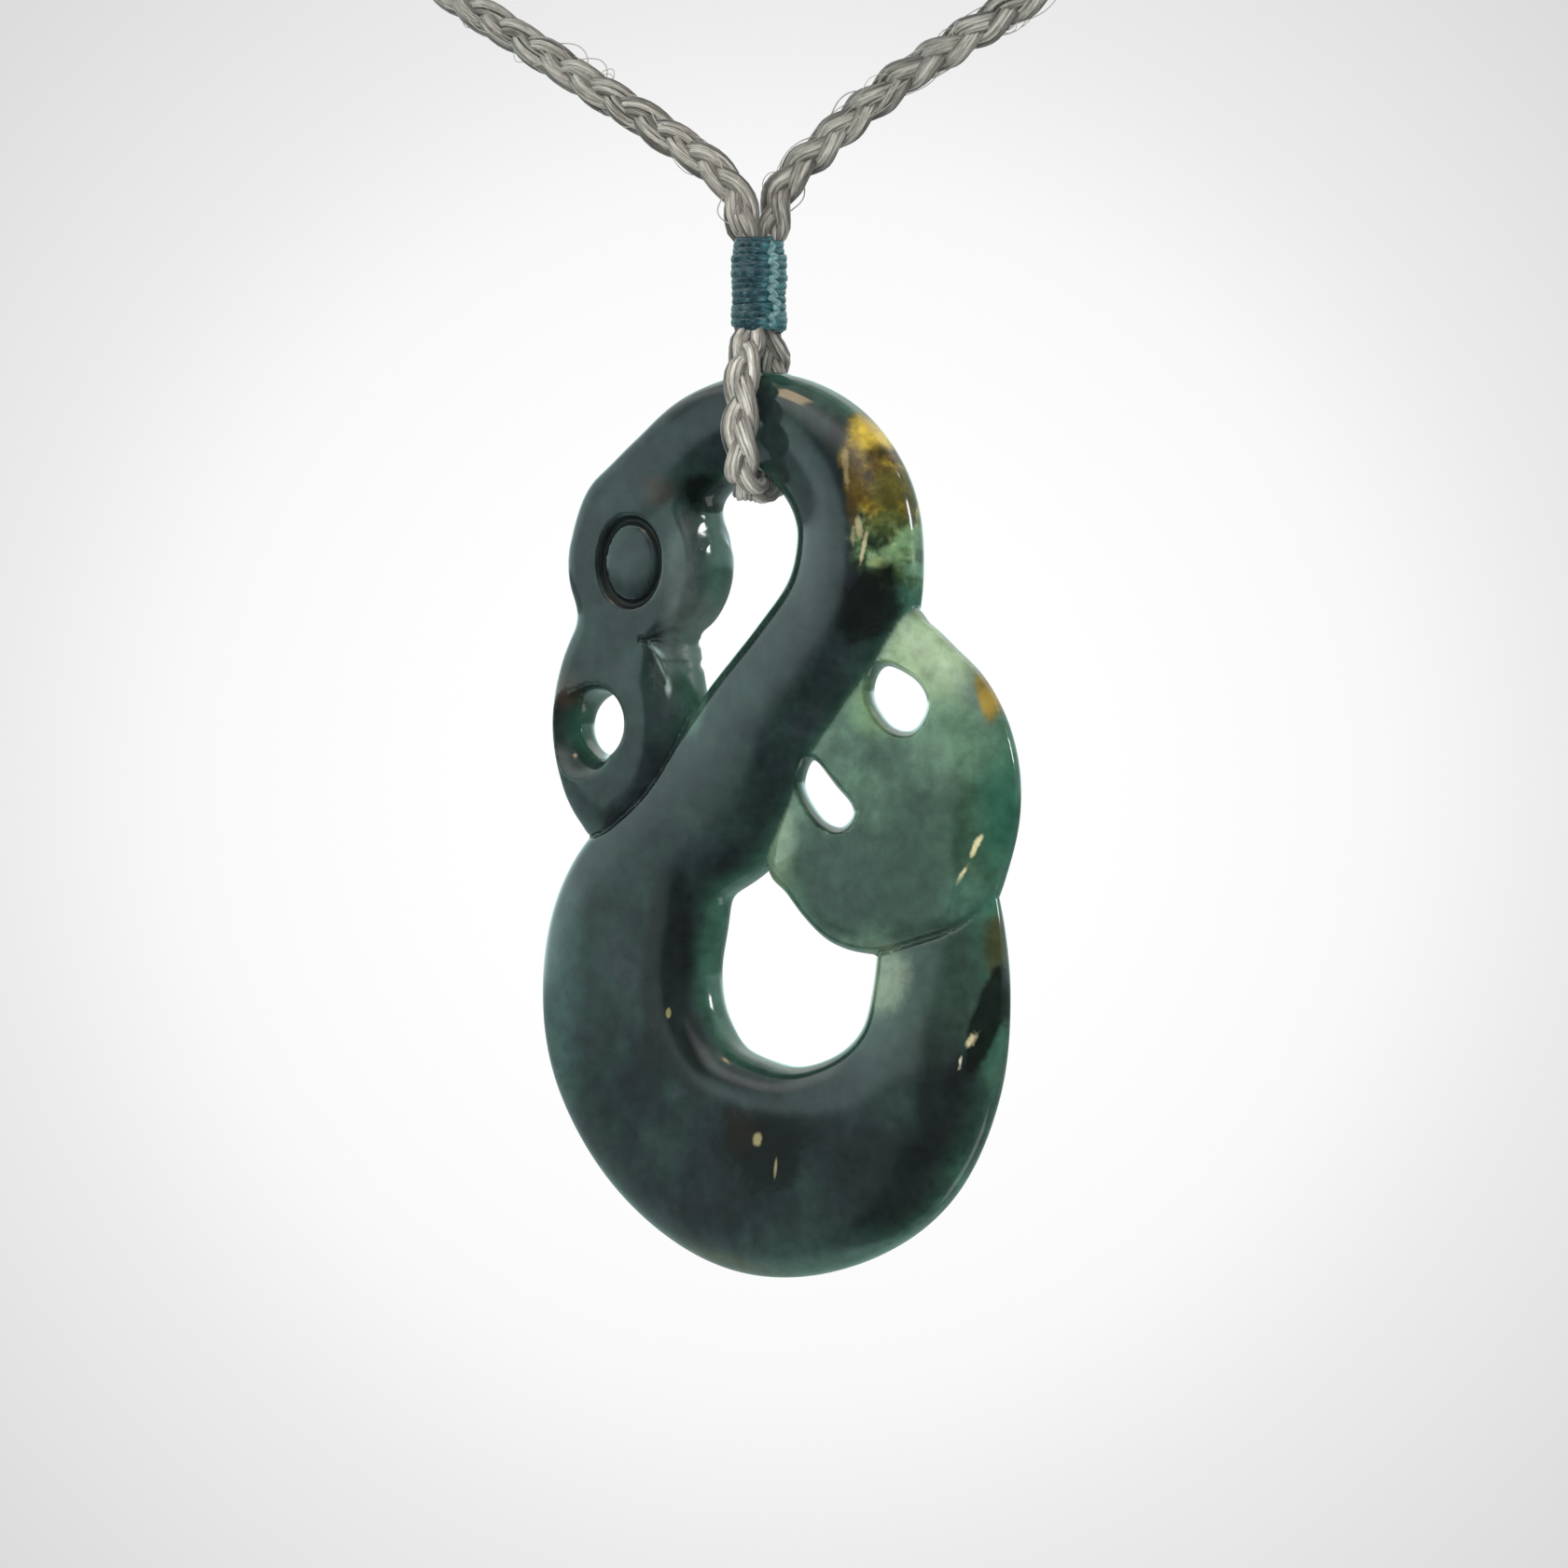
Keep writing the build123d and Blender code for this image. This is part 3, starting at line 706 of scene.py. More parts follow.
def ring_faces(rings, sides):
    """The four-sided faces between rings of points."""
    start = (np.arange(rings - 1) * sides)[:, None]
    first = start + np.arange(sides)
    following = start + (np.arange(sides) + 1) % sides
    return np.stack([first, following, following + sides, first + sides], axis=-1).reshape(-1, 4)


def joined(tubes):
    """Several tubes as one set of points and faces."""
    counts = np.cumsum([0] + [len(points) for points, _ in tubes])
    faces = [faces + start for (_, faces), start in zip(tubes, counts)]
    return np.vstack([points for points, _ in tubes]), np.vstack(faces)


def yarn_places(runs, sides):
    """For each point of some tubes how far along its tube, how far round it, and the tube's number."""
    rows = []
    for number, along in enumerate(runs):
        around = np.tile(np.arange(sides) / sides, len(along))
        rows.append(np.stack([np.repeat(along, sides), around, np.full(len(around), number)], axis=1))
    return np.vstack(rows)


def make_plait():
    """The three strands of the plait, each a bundle of yarns."""
    line, steps = route_line(ROUTE)
    count = len(line)
    tangents = unit(np.gradient(line, axis=0))
    bight = (np.array(BIGHT_LEFT) + BIGHT_RIGHT) / 2 / MM
    middle = int(np.argmin(np.linalg.norm(line - bight, axis=1)))
    normals = carried_normals(line, tangents, middle, np.array((0.0, 0.0, -1.0)))
    sideways = np.cross(tangents, normals)
    foot = (BIND_FOOT - 0.5 * BOUND_EASE, BIND_FOOT + 0.5 * BOUND_EASE)
    top = (BIND_TOP + 0.5 * BOUND_EASE, BIND_TOP - 0.5 * BOUND_EASE)
    pressed = share_past(line[:, 2], foot) * share_past(line[:, 2], top)
    tight = 1.0 - BOUND_SQUEEZE * pressed
    line[:, 1] -= BOUND_PULL * pressed * (line[:, 1] + REACH)
    phase = 2.0 * np.pi * (steps - steps[middle]) / PLAIT_LAY
    uneven = 1.0 + wander(count, *PLAIT_UNEVEN)
    pieces = []
    for strand, name in enumerate(("plait_strand_a", "plait_strand_b", "plait_strand_c")):
        turn = phase + strand * 2.0 * np.pi / 3.0 + wander(count, *STRAND_WANDER)
        u = STRAND_SIDEWAYS * np.sin(turn) * uneven * tight
        v = STRAND_DEEP * np.sin(2.0 * turn) * tight
        centre = line + sideways * u[:, None] + normals * v[:, None]
        run = unit(np.gradient(centre, axis=0))
        across = unit(np.cross(run, normals))
        out = np.cross(across, run)
        tubes, gap_shade = [], []
        for yarn in range(YARNS):
            swing = 2.0 * np.pi * (yarn / YARNS + steps / YARN_TURN) + wander(count, *YARN_WANDER)
            loose = tight * (1.0 + wander(count, *YARN_LOOSE))
            a = STRAND_HALF_WIDE * np.cos(swing) * loose
            b = STRAND_HALF_DEEP * np.sin(swing) * loose
            radius = 0.5 * YARN_WIDE * tight * (1.0 + wander(count, *YARN_SWELL))
            yarn_line = centre + across * a[:, None] + out * b[:, None]
            tubes.append(tube_mesh(yarn_line, across, out, radius, YARN_SIDES))
            # painted shade: how far each yarn lies at its strand's sideways edge, where the gaps between
            # strands are darkened
            gap_shade.append(np.repeat(np.abs(np.cos(swing)) ** 3, YARN_SIDES))
        points, faces = joined(tubes)
        replaced = () if pieces else ("plait_left", "plait_right")
        piece = make_piece(name, points * MM, faces, "cord", replaced)
        store(piece, "yarn", yarn_places([steps] * YARNS, YARN_SIDES))
        store(piece, "gap_shade", np.concatenate(gap_shade))
        pieces.append(piece)
    pieces.append(make_fuzz(line, steps, normals, sideways))
    return pieces


def make_fuzz(line, steps, normals, sideways):
    """Fine stray fibres that leave the plait and come back to it."""
    loops = list(FUZZ_LOOPS)
    for _ in range(FUZZ):
        start, turn = rng.uniform(FUZZ_ENDS, steps[-1] - FUZZ_ENDS), rng.uniform(0.0, 360.0)
        length, height = rng.uniform(*FUZZ_LONG), abs(rng.normal(0.0, FUZZ_HIGH)) + FUZZ_LEAST_HIGH
        loops.append((start, turn, length, height, FUZZ_WIDE))
    t = np.linspace(0.0, 1.0, FUZZ_POINTS)
    number = np.arange(len(line))
    tubes = []
    for start, turn, length, height, wide in loops:
        at = np.clip((start + length * t) / PLAIT_STEP, 0, number[-1])
        place, across, out = (rows_at(at, number, rows) for rows in (line, sideways, normals))
        angle = (math.radians(turn) + rng.normal(0.0, FUZZ_BEND) * t)[:, None]
        away = np.cos(angle) * across * FUZZ_OVER_WIDE + np.sin(angle) * out * FUZZ_OVER_DEEP
        leaning = FUZZ_LEAN[0] + FUZZ_LEAN[1] * rng.random() * t
        lift = FUZZ_ROOT + height * np.sin(math.pi * t) ** 0.8 * leaning
        place = place + away * lift[:, None]
        up = place[:, 2]
        if np.any((up < BIND_TOP + FUZZ_OFF_BINDING) & (up > BIND_FOOT - FUZZ_OFF_BINDING)):
            continue
        if up.min() < STONE_FOOT + STONE_TALL + FUZZ_OFF_STONE:
            continue
        run = unit(np.gradient(place, axis=0))
        side = unit(np.cross(run, away))
        tubes.append(tube_mesh(place, side, np.cross(side, run), 0.5 * wide, FUZZ_SIDES))
    points, faces = joined(tubes)
    piece = make_piece("plait_fuzz", points * MM, faces, "cord")
    shade = FUZZ_SHADE_STEP * np.repeat(np.arange(len(tubes)), FUZZ_POINTS * FUZZ_SIDES)
    store(piece, "yarn", np.outer(shade, (1.0, 0.0, 0.0)))
    return piece


def bound_height(share):
    """Height of the thread's middle at a share of its way up the binding."""
    return BIND_FOOT + 0.5 * THREAD_WIDE + (BIND_TOP - BIND_FOOT - THREAD_WIDE) * share


def wound_thread():
    """The thread's turns, the angle of each point round them, and how closely they fit at each share."""
    count = BIND_TURNS * TURN_POINTS
    t = np.linspace(0.0, 1.0, count)
    turn = 2.0 * np.pi * BIND_TURNS * t
    fit = 1.0 - BIND_FOOT_TAPER * share_past(t, FOOT_TAPER_AT) ** TAPER_POWER
    fit = fit - BIND_TOP_STEP * share_past(t, TOP_STEP_AT)
    fit = fit - BIND_TOP_TAPER * share_past(t, TOP_TAPER_AT) ** TAPER_POWER
    grow = fit + wander(count, *BIND_UNEVEN) + wander(count, *BIND_BULGE)
    corner = np.abs(np.cos(turn)) ** BIND_CORNERS + np.abs(np.sin(turn)) ** BIND_CORNERS
    ring = np.stack([BIND_HALF_X * np.cos(turn), BIND_HALF_Y * np.sin(turn), np.zeros(count)], axis=1)
    ring *= (grow * corner ** (-1.0 / BIND_CORNERS))[:, None]
    line = BIND_MIDDLE + ring
    # the first and last turns lie level
    level = share_past(t * BIND_TURNS, (LEVEL_TURNS, BIND_TURNS - LEVEL_TURNS))
    line[:, 2] = bound_height(level) + wander(count, *THREAD_WANDER)
    out = unit(ring * (1.0, 0.5, 1.0))
    up = np.cross(unit(np.gradient(line, axis=0)), out)
    radius = 0.5 * THREAD_WIDE * (1.0 + wander(count, *THREAD_SWELL))
    return tube_mesh(line, out * THREAD_FLAT, up, radius, THREAD_SIDES), turn, (t, fit)


def hitch_ridge(t, fit):
    """The zigzag ridge of half hitches down the front right, and each point's place along it."""
    number = np.arange(HITCHES)
    share = np.linspace(*HITCH_SPAN, HITCHES)
    swing = HITCH_TURN + HITCH_SWING * np.where(number % 2, 1.0, -1.0)
    swing = np.radians(swing + rng.normal(0.0, HITCH_STRAY, HITCHES))
    stand = HITCH_STANDS_OUT * (np.interp(share, t, fit) + HITCH_LIFT)
    line = np.stack([BIND_HALF_X * np.sin(swing), -BIND_HALF_Y * np.cos(swing), np.zeros(HITCHES)], axis=1)
    line = BIND_MIDDLE + line * stand[:, None]
    line[:, 2] = bound_height(share) + rng.normal(0.0, HITCH_UP_STRAY, HITCHES)
    along = np.linspace(0, HITCHES - 1, HITCHES * HITCH_PARTS)
    line = rows_at(along, number, line)
    run = unit(np.gradient(line, axis=0))
    facing = math.radians(HITCH_TURN)
    side = unit(np.cross(run, (math.sin(facing), -math.cos(facing), 0.0)))
    return tube_mesh(line, side, np.cross(side, run), 0.5 * HITCH_WIDE, THREAD_SIDES), along


def binding_core():
    """A plain core, which shuts out the light between the turns."""
    line = np.tile(BIND_MIDDLE, (CORE_RINGS, 1))
    line[:, 2] = np.linspace(BIND_FOOT + CORE_SHORTER, BIND_TOP - CORE_SHORTER, CORE_RINGS)
    across = np.tile((1.0, 0.0, 0.0), (CORE_RINGS, 1))
    front_back = np.tile((0.0, BIND_HALF_Y / BIND_HALF_X, 0.0), (CORE_RINGS, 1))
    radius = (BIND_HALF_X - CORE_SLIMMER) * (1.0 - CORE_TAPER * np.linspace(-1.0, 1.0, CORE_RINGS) ** 4)
    return tube_mesh(line, across, front_back, radius, CORE_SIDES)


def make_binding():
    """The thread wound round both runs of the plait."""
    thread, turn, closeness = wound_thread()
    ridge, along = hitch_ridge(*closeness)
    core = binding_core()
    points, faces = joined([thread, ridge, core])
    piece = make_piece("binding_thread", points * MM, faces, "cord", ("binding",))
    places = yarn_places([turn, along], THREAD_SIDES)
    store(piece, "yarn", np.vstack([places, np.zeros((len(core[0]), 3))]))
    return piece


def linear(hexed):
    """An sRGB hex colour as the linear colour that a shader takes."""
    shares = [int(hexed[i:i + 2], 16) / 255 for i in (1, 3, 5)]
    return tuple(c / 12.92 if c <= 0.04045 else ((c + 0.055) / 1.055) ** 2.4 for c in shares) + (1.0,)


def add(tree, kind, settings=None, links=None):
    """One node with its settings, and its inputs linked to other nodes' outputs."""
    node = tree.nodes.new("ShaderNode" + kind)
    for name, value in (settings or {}).items():
        if isinstance(name, int) or name in node.inputs:
            node.inputs[name].default_value = value
        else:
            setattr(node, name, value)
    for name, source in (links or {}).items():
        tree.links.new(source, node.inputs[name])
    return node


def new_material(name):
    """A material whose tree holds only its shader and its output."""
    material = bpy.data.materials.new(name)
    material.use_nodes = True
    tree = material.node_tree
    tree.nodes.clear()
    shader = add(tree, "BsdfPrincipled")
    add(tree, "OutputMaterial", links={"Surface": shader.outputs[0]})
    return material, tree, shader


def set_stops(ramp, stops):
    """Fills a colour ramp with stops, each a place and a colour that is hex or already linear."""
    stops = [(place, linear(colour) if isinstance(colour, str) else colour) for place, colour in stops]
    ramp.elements[1].position, ramp.elements[1].color = stops[-1]
    ramp.elements[0].position, ramp.elements[0].color = stops[0]
    for place, colour in stops[1:-1]:
        ramp.elements.new(place).color = colour


# Spots of other colour in the stone, and some of painted shadow, reflection and highlights: centre and half
# size in millimetres from the hanging line and the lowest point, lean in degrees, how far noise frays the
# edge, how soft the edge is, colour, strength.
SPOTS = (
    # x, z, half wide, half tall, lean, fray, softness, colour, strength
    (13.4, 17.4, 4.4, 4.4, -30.0, 0.6, 0.8, "#33443b", 0.8),       # light tail below the lobe
    (9.9, 18.0, 1.7, 1.9, 0.0, 0.5, 1.0, "#7f8d74", 0.8),
    (17.5, 20.4, 0.9, 1.7, 0.0, 0.6, 0.8, "#454021", 0.8),
    (16.9, 15.6, 0.75, 3.5, 14.0, 0.4, 0.35, "#0f120f", 0.9),
    (18.0, 12.6, 0.8, 2.8, 12.0, 0.5, 0.8, "#435a4b", 0.8),
    (8.9, 51.7, 1.2, 1.3, -30.0, 0.5, 0.9, "#dcbd4c", 0.85),       # bright gold at the rind's top
    (11.4, 49.9, 0.8, 2.4, -28.0, 0.5, 1.0, "#d2c284", 0.8),
    (6.8, 51.2, 0.5, 1.3, -8.0, 0.6, 0.9, "#161d18", 0.8),
    (8.2, 47.9, 0.6, 2.3, -4.0, 0.7, 0.7, "#4a3a1b", 0.8),
    (10.2, 47.6, 0.9, 1.5, 0.0, 0.6, 0.8, "#4b4a1b", 0.8),
    (10.3, 45.8, 0.9, 0.9, 0.0, 0.7, 0.8, "#2b4024", 0.8),
    (8.7, 45.6, 0.2, 0.7, -6.0, 1.8, 1.0, "#a89f7b", 0.9),
    (9.0, 44.2, 0.13, 0.9, 12.0, 1.8, 1.0, "#b9b08c", 0.95),
    (8.3, 44.9, 0.12, 0.5, 0.0, 1.8, 1.0, "#8d8466", 0.8),
    (7.7, 48.9, 0.14, 1.0, -8.0, 2.2, 1.2, "#94855a", 0.7),
    (10.6, 43.9, 0.6, 0.5, 0.0, 0.8, 1.0, "#7d9a72", 0.7),
    (9.8, 43.3, 0.5, 0.35, 0.0, 0.8, 1.0, "#8a9668", 0.7),
    (9.2, 40.6, 1.6, 2.6, 22.0, 0.5, 0.4, "#121413", 0.85),        # painted dark reflection: a stripe below the rind
    (11.3, 44.8, 0.5, 0.7, 0.0, 0.6, 0.8, "#6f9069", 0.8),
    (12.1, 42.9, 0.9, 0.6, 0.0, 0.5, 0.6, "#5f8169", 0.85),
    (16.5, 35.6, 0.5, 1.9, -18.0, 0.4, 0.7, "#8f7226", 0.75),      # gold by the lobe's edge
    (16.7, 34.9, 0.35, 1.0, -15.0, 0.4, 0.9, "#a78a34", 0.55),
    (-4.7, 39.2, 0.9, 3.0, 20.0, 0.5, 1.0, "#5d6b67", 0.6),        # painted reflection: the throat wall painted pale grey, this row and the next
    (-4.2, 43.0, 1.2, 3.5, 8.0, 0.4, 1.0, "#4d5856", 0.7),
    (-6.1, 38.1, 0.16, 0.45, -50.0, 1.2, 1.6, "#93a5a2", 0.7),     # painted highlights: pale glints along crinkles in the throat
    (-5.9, 37.0, 0.09, 0.8, -26.0, 1.2, 1.6, "#93a5a2", 0.65),
    (-5.4, 35.8, 0.16, 0.5, -8.0, 1.4, 1.6, "#a3b3b0", 0.7),
    (-3.4, 34.3, 0.7, 1.4, 10.0, 0.6, 1.0, "#4f7060", 0.6),        # pale patch by the jaw
    (-13.4, 14.5, 1.6, 8.0, 6.0, 0.3, 1.2, "#3c5450", 0.7),        # light left side of the back
    (-5.3, 18.6, 1.6, 6.0, 4.0, 0.2, 0.45, "#191d1d", 0.85),       # painted dark reflection: a stripe down the body, this row and the next
    (-4.0, 13.2, 1.3, 3.2, -35.0, 0.3, 0.6, "#1b1f1e", 0.75),
    (-2.9, 47.8, 1.3, 1.2, 0.0, 0.6, 0.7, "#080b0a", 0.9),         # painted shadow below the brow
    (-13.0, 35.8, 1.2, 1.1, 0.0, 0.6, 1.0, "#4a3d31", 0.5),        # rust on the jaw
    (-5.8, 47.9, 1.2, 0.9, 0.0, 0.6, 0.9, "#5a4436", 0.25),
    (2.2, 7.9, 2.6, 2.8, 0.0, 0.9, 0.8, "#0a0e0b", 0.9),           # dark clouds in the foot
    (0.2, 8.8, 1.2, 1.6, 0.0, 0.8, 0.8, "#1c1510", 0.8),
    (10.5, 6.0, 3.4, 3.4, -30.0, 0.7, 0.9, "#1b1f1f", 0.7),
    (14.8, 11.0, 2.2, 5.0, -25.0, 0.7, 0.8, "#1b201f", 0.6),
    (1.4, 8.1, 0.3, 0.4, 20.0, 1.4, 0.8, "#a99d72", 0.75),         # small cream specks
    (2.7, 6.4, 0.1, 0.55, 8.0, 1.2, 0.8, "#a99d72", 0.7),
    (-5.0, 15.8, 0.2, 0.35, 0.0, 0.5, 0.4, "#98905f", 0.7),
    (16.1, 14.3, 0.2, 0.5, 30.0, 2.6, 1.2, "#c8bf97", 0.95),
    (15.6, 13.1, 0.12, 0.45, 10.0, 2.6, 1.2, "#e4dfc6", 0.9),
    (-3.0, 0.5, 7.0, 0.8, 12.0, 0.5, 1.4, "#4a4527", 0.6),         # olive bottom edge
)
# The lobe's pale colours are partly its own lighter stone and partly painted light showing through the thin
# lobe
LOBE_SPOTS = (
    # x, z, half wide, half tall, lean, fray, softness, colour, strength
    (13.3, 27.0, 4.4, 5.2, 10.0, 0.7, 1.2, "#2b4436", 0.8),
    (12.0, 22.5, 4.4, 2.6, 0.0, 0.7, 1.0, "#2f4539", 0.8),
    (18.6, 28.5, 2.0, 9.0, -6.0, 0.3, 1.2, "#2d5c4b", 0.85),
    (12.5, 37.5, 3.2, 2.2, 40.0, 0.4, 1.0, "#a3b894", 0.85),
    (9.2, 34.6, 1.8, 1.6, 40.0, 0.4, 1.0, "#6f8c66", 0.8),
    (7.0, 24.2, 3.0, 3.6, 0.0, 0.4, 1.2, "#31433d", 0.75),
    (2.3, 26.0, 1.2, 2.8, 8.0, 0.3, 1.0, "#768b70", 0.8),
    (16.3, 26.0, 0.14, 0.6, 24.0, 2.6, 1.2, "#cfc79c", 0.95),
    (15.6, 24.6, 0.12, 0.6, 34.0, 2.6, 1.2, "#cfc79c", 0.9),
    (14.6, 32.6, 3.0, 2.6, 0.0, 0.6, 1.2, "#6c8a72", 0.65),
    (15.6, 22.6, 1.4, 1.6, 0.0, 0.6, 1.0, "#4c6f60", 0.7),
)

# Rind: a spot as above, then the colours that noise picks
RIND = (
    (
        (10.6, 44.9, 2.3, 2.9, 0.0, 0.5, 0.6, 1.0),
        ((0.32, "#1c2c1f"), (0.42, "#33482a"), (0.50, "#4a6040"), (0.58, "#66805e"), (0.68, "#95a184")),
    ),
    (
        (9.5, 49.4, 1.9, 4.5, -14.0, 0.5, 0.45, 1.0),
        ((0.32, "#352b12"), (0.42, "#4c3e17"), (0.50, "#65521b"), (0.58, "#857026"), (0.70, "#a89345")),
    ),
)

# Where the wheel couldn't reach and the polish is softer: a spot, its last value the added roughness
SOFTER_POLISH = (
    (-4.6, 38.8, 1.5, 4.8, 10.0, 0.2, 0.6, 0.30),     # throat
    (-1.9, 16.6, 0.9, 3.4, 0.0, 0.2, 0.6, 0.22),      # left wall of the foot's opening
)

# Scales of the stone's patterns, per millimetre: clouds of 6 mm, wisps of 3 mm, grain of 1.4 mm and
# flecks of 1.25 mm
CLOUDS, WISPS, GRAIN, FLECKS = 0.17, 0.35, 0.7, 0.8
GROUND = (
    # share of the clouds, colour
    (0.30, "#1d2123"), (0.42, "#23292b"), (0.50, "#242f30"), (0.60, "#263733"), (0.70, "#2d3539"),
)
LOBE_GROUND = ((0.3, "#384f42"), (0.5, "#4a6453"), (0.72, "#5f7b65"))


def spot_mask(tree, place, frays, x, z, wide, tall, lean, fray, softness, strength):
    """The share of a soft frayed spot's colour at each place."""
    spot = {"vector_type": "TEXTURE", "Location": (x, 0.0, z), "Scale": (wide, 1000.0, tall)}
    spot["Rotation"] = (0.0, math.radians(lean), 0.0)
    local = add(tree, "Mapping", spot, {"Vector": place})
    far = add(tree, "VectorMath", {"operation": "LENGTH"}, {0: local.outputs[0]})
    fraying = {"operation": "MULTIPLY_ADD", 1: 2.0 * fray}
    frayed = add(tree, "Math", fraying, {0: frays.outputs[0], 2: far.outputs["Value"]})
    fade = {"interpolation_type": "SMOOTHSTEP", "To Max": strength}
    fade["From Min"], fade["From Max"] = 1.0 + 0.5 * softness, 1.0 - 0.5 * softness
    return add(tree, "MapRange", fade, {"Value": frayed.outputs[0]}).outputs[0]


def spotted(tree, place, frays, colour, spots):
    """The colour with soft frayed spots over it."""
    for *spot, hexed, strength in spots:
        share = spot_mask(tree, place, frays, *spot, strength)
        over = {"data_type": "RGBA", 7: linear(hexed)}
        colour = add(tree, "Mix", over, {0: share, 6: colour}).outputs[2]
    return colour


def nephrite():
    """Nephrite, a jade, ground and polished: mottled dark green and glassy, with painted light making it
    lighter where it is thin.
    """
    material, tree, shader = new_material("polished_nephrite")
    coords = add(tree, "TexCoord")
    # places in millimetres, as in the tables of spots
    to_mm = {"operation": "MULTIPLY_ADD", 1: (1000.0,) * 3, 2: (0.0, REACH, -STONE_FOOT)}
    place = add(tree, "VectorMath", to_mm, {0: coords.outputs["Object"]}).outputs[0]
    clouds = add(tree, "TexNoise", {"Scale": CLOUDS, "Detail": 4.0, "Roughness": 0.55}, {"Vector": place})
    grain = add(tree, "TexNoise", {"Scale": GRAIN, "Detail": 8.0, "Roughness": 0.7}, {"Vector": place})
    wispy = {"Scale": WISPS, "Detail": 5.0, "Roughness": 0.55, "Distortion": 0.7}
    wisps = add(tree, "TexNoise", wispy, {"Vector": place})
    base = add(tree, "ValToRGB", links={"Fac": clouds.outputs["Fac"]})
    set_stops(base.color_ramp, GROUND)
    dark_to_light = {"From Min": 0.3, "From Max": 0.7, "To Min": 0.6, "To Max": 1.15}
    mottle = add(tree, "MapRange", dark_to_light, {"Value": wisps.outputs["Fac"]})
    mottled = {0: base.outputs["Color"], "Scale": mottle.outputs[0]}
    colour = add(tree, "VectorMath", {"operation": "SCALE"}, mottled).outputs[0]
    # painted light: thin edges are painted a lighter green, standing in for light showing through them
    axes = add(tree, "SeparateXYZ", links={0: place})
    depth = add(tree, "Math", {"operation": "ABSOLUTE"}, {0: axes.outputs["Y"]})
    to_edge_glow = {"interpolation_type": "SMOOTHSTEP", "From Min": 2.3, "From Max": 0.3, "To Max": 0.8}
    edge_glow = add(tree, "MapRange", to_edge_glow, {"Value": depth.outputs[0]})
    edge_glow_colour = {"data_type": "RGBA", 7: linear("#3f6b58")}
    colour = add(tree, "Mix", edge_glow_colour, {0: edge_glow.outputs[0], 6: colour}).outputs[2]
    # the pale lobe, clouded towards its middle and greener at its outer edge; its paleness is partly its
    # own lighter stone and partly painted light showing through the thin lobe
    lobe_share = add(tree, "Attribute", {"attribute_name": "on_lobe"}).outputs["Fac"]
    lobe = add(tree, "ValToRGB", links={"Fac": wisps.outputs["Fac"]})
    set_stops(lobe.color_ramp, LOBE_GROUND)
    frays = add(tree, "Math", {"operation": "SUBTRACT", 1: 0.5}, {0: grain.outputs["Fac"]})
    lobe_colour = spotted(tree, place, frays, lobe.outputs["Color"], LOBE_SPOTS)
    colour = add(tree, "Mix", {"data_type": "RGBA"}, {0: lobe_share, 6: colour, 7: lobe_colour}).outputs[2]
    # the weathered rind on the neck: gold above, mottled olive below
    flecked = {"Scale": FLECKS, "Detail": 5.0, "Roughness": 0.6, "Distortion": 0.25}
    flecks = add(tree, "TexNoise", flecked, {"Vector": place}).outputs["Fac"]
    for spot, stops in RIND:
        rind = add(tree, "ValToRGB", links={"Fac": flecks})
        set_stops(rind.color_ramp, stops)
        over = {0: spot_mask(tree, place, frays, *spot), 6: colour, 7: rind.outputs[0]}
        colour = add(tree, "Mix", {"data_type": "RGBA"}, over).outputs[2]
    colour = spotted(tree, place, frays, colour, SPOTS)
    # the cut ring of the eye was left unpolished, and its colour is darkened to near black
    cut = add(tree, "Attribute", {"attribute_name": "recess"}).outputs["Fac"]
    colour = add(tree, "Mix", {"data_type": "RGBA", 7: linear("#070a09")}, {0: cut, 6: colour}).outputs[2]
    rough = add(tree, "MapRange", {"To Min": 0.11, "To Max": 0.6}, {"Value": cut}).outputs[0]
    for spot in SOFTER_POLISH:
        softer = spot_mask(tree, place, frays, *spot)
        rough = add(tree, "Math", {"operation": "ADD"}, {0: rough, 1: softer}).outputs[0]
    tree.links.new(rough, shader.inputs["Roughness"])
    # each spot is itself mottled
    mottling = {"From Min": 0.32, "From Max": 0.68, "To Min": 0.72, "To Max": 1.25}
    mottle = add(tree, "MapRange", mottling, {"Value": flecks})
    colour = add(tree, "VectorMath", {"operation": "SCALE"}, {0: colour, "Scale": mottle.outputs[0]})
    tree.links.new(colour.outputs[0], shader.inputs["Base Color"])
    shader.inputs["IOR"].default_value = 1.61
    shader.inputs["Subsurface Weight"].default_value = 0.4
    shader.inputs["Subsurface Radius"].default_value = (0.7, 1.0, 0.8)
    shader.inputs["Subsurface Scale"].default_value = 0.0015
    return material


# Scales of the fibres and the thread: along it, round it per turn, and from one yarn to the next. Along,
# the plait's count per millimetre and the thread's per radian of its turn.
FIBRE_STREAKS = (0.6, 8.0, 3.7)
FIBRE_BLOTCHES = (0.12, 0.0, 9.1)
THREAD_TWIST = (3.0, 4.0, 1.0)
# Painted light: down to the stone the cord is painted paler than above the binding, as if more strongly lit
# lower down, and changes between these heights in metres
PALER_BELOW_FROM, PALER_BELOW_TO = -0.104, -0.098
# Painted light: the binding is painted from slate at its front to a brighter teal at its side, as if lit
# from the right, between these places, in metres
LIT_SIDE_FROM, LIT_SIDE_TO = -0.1519, -0.1507


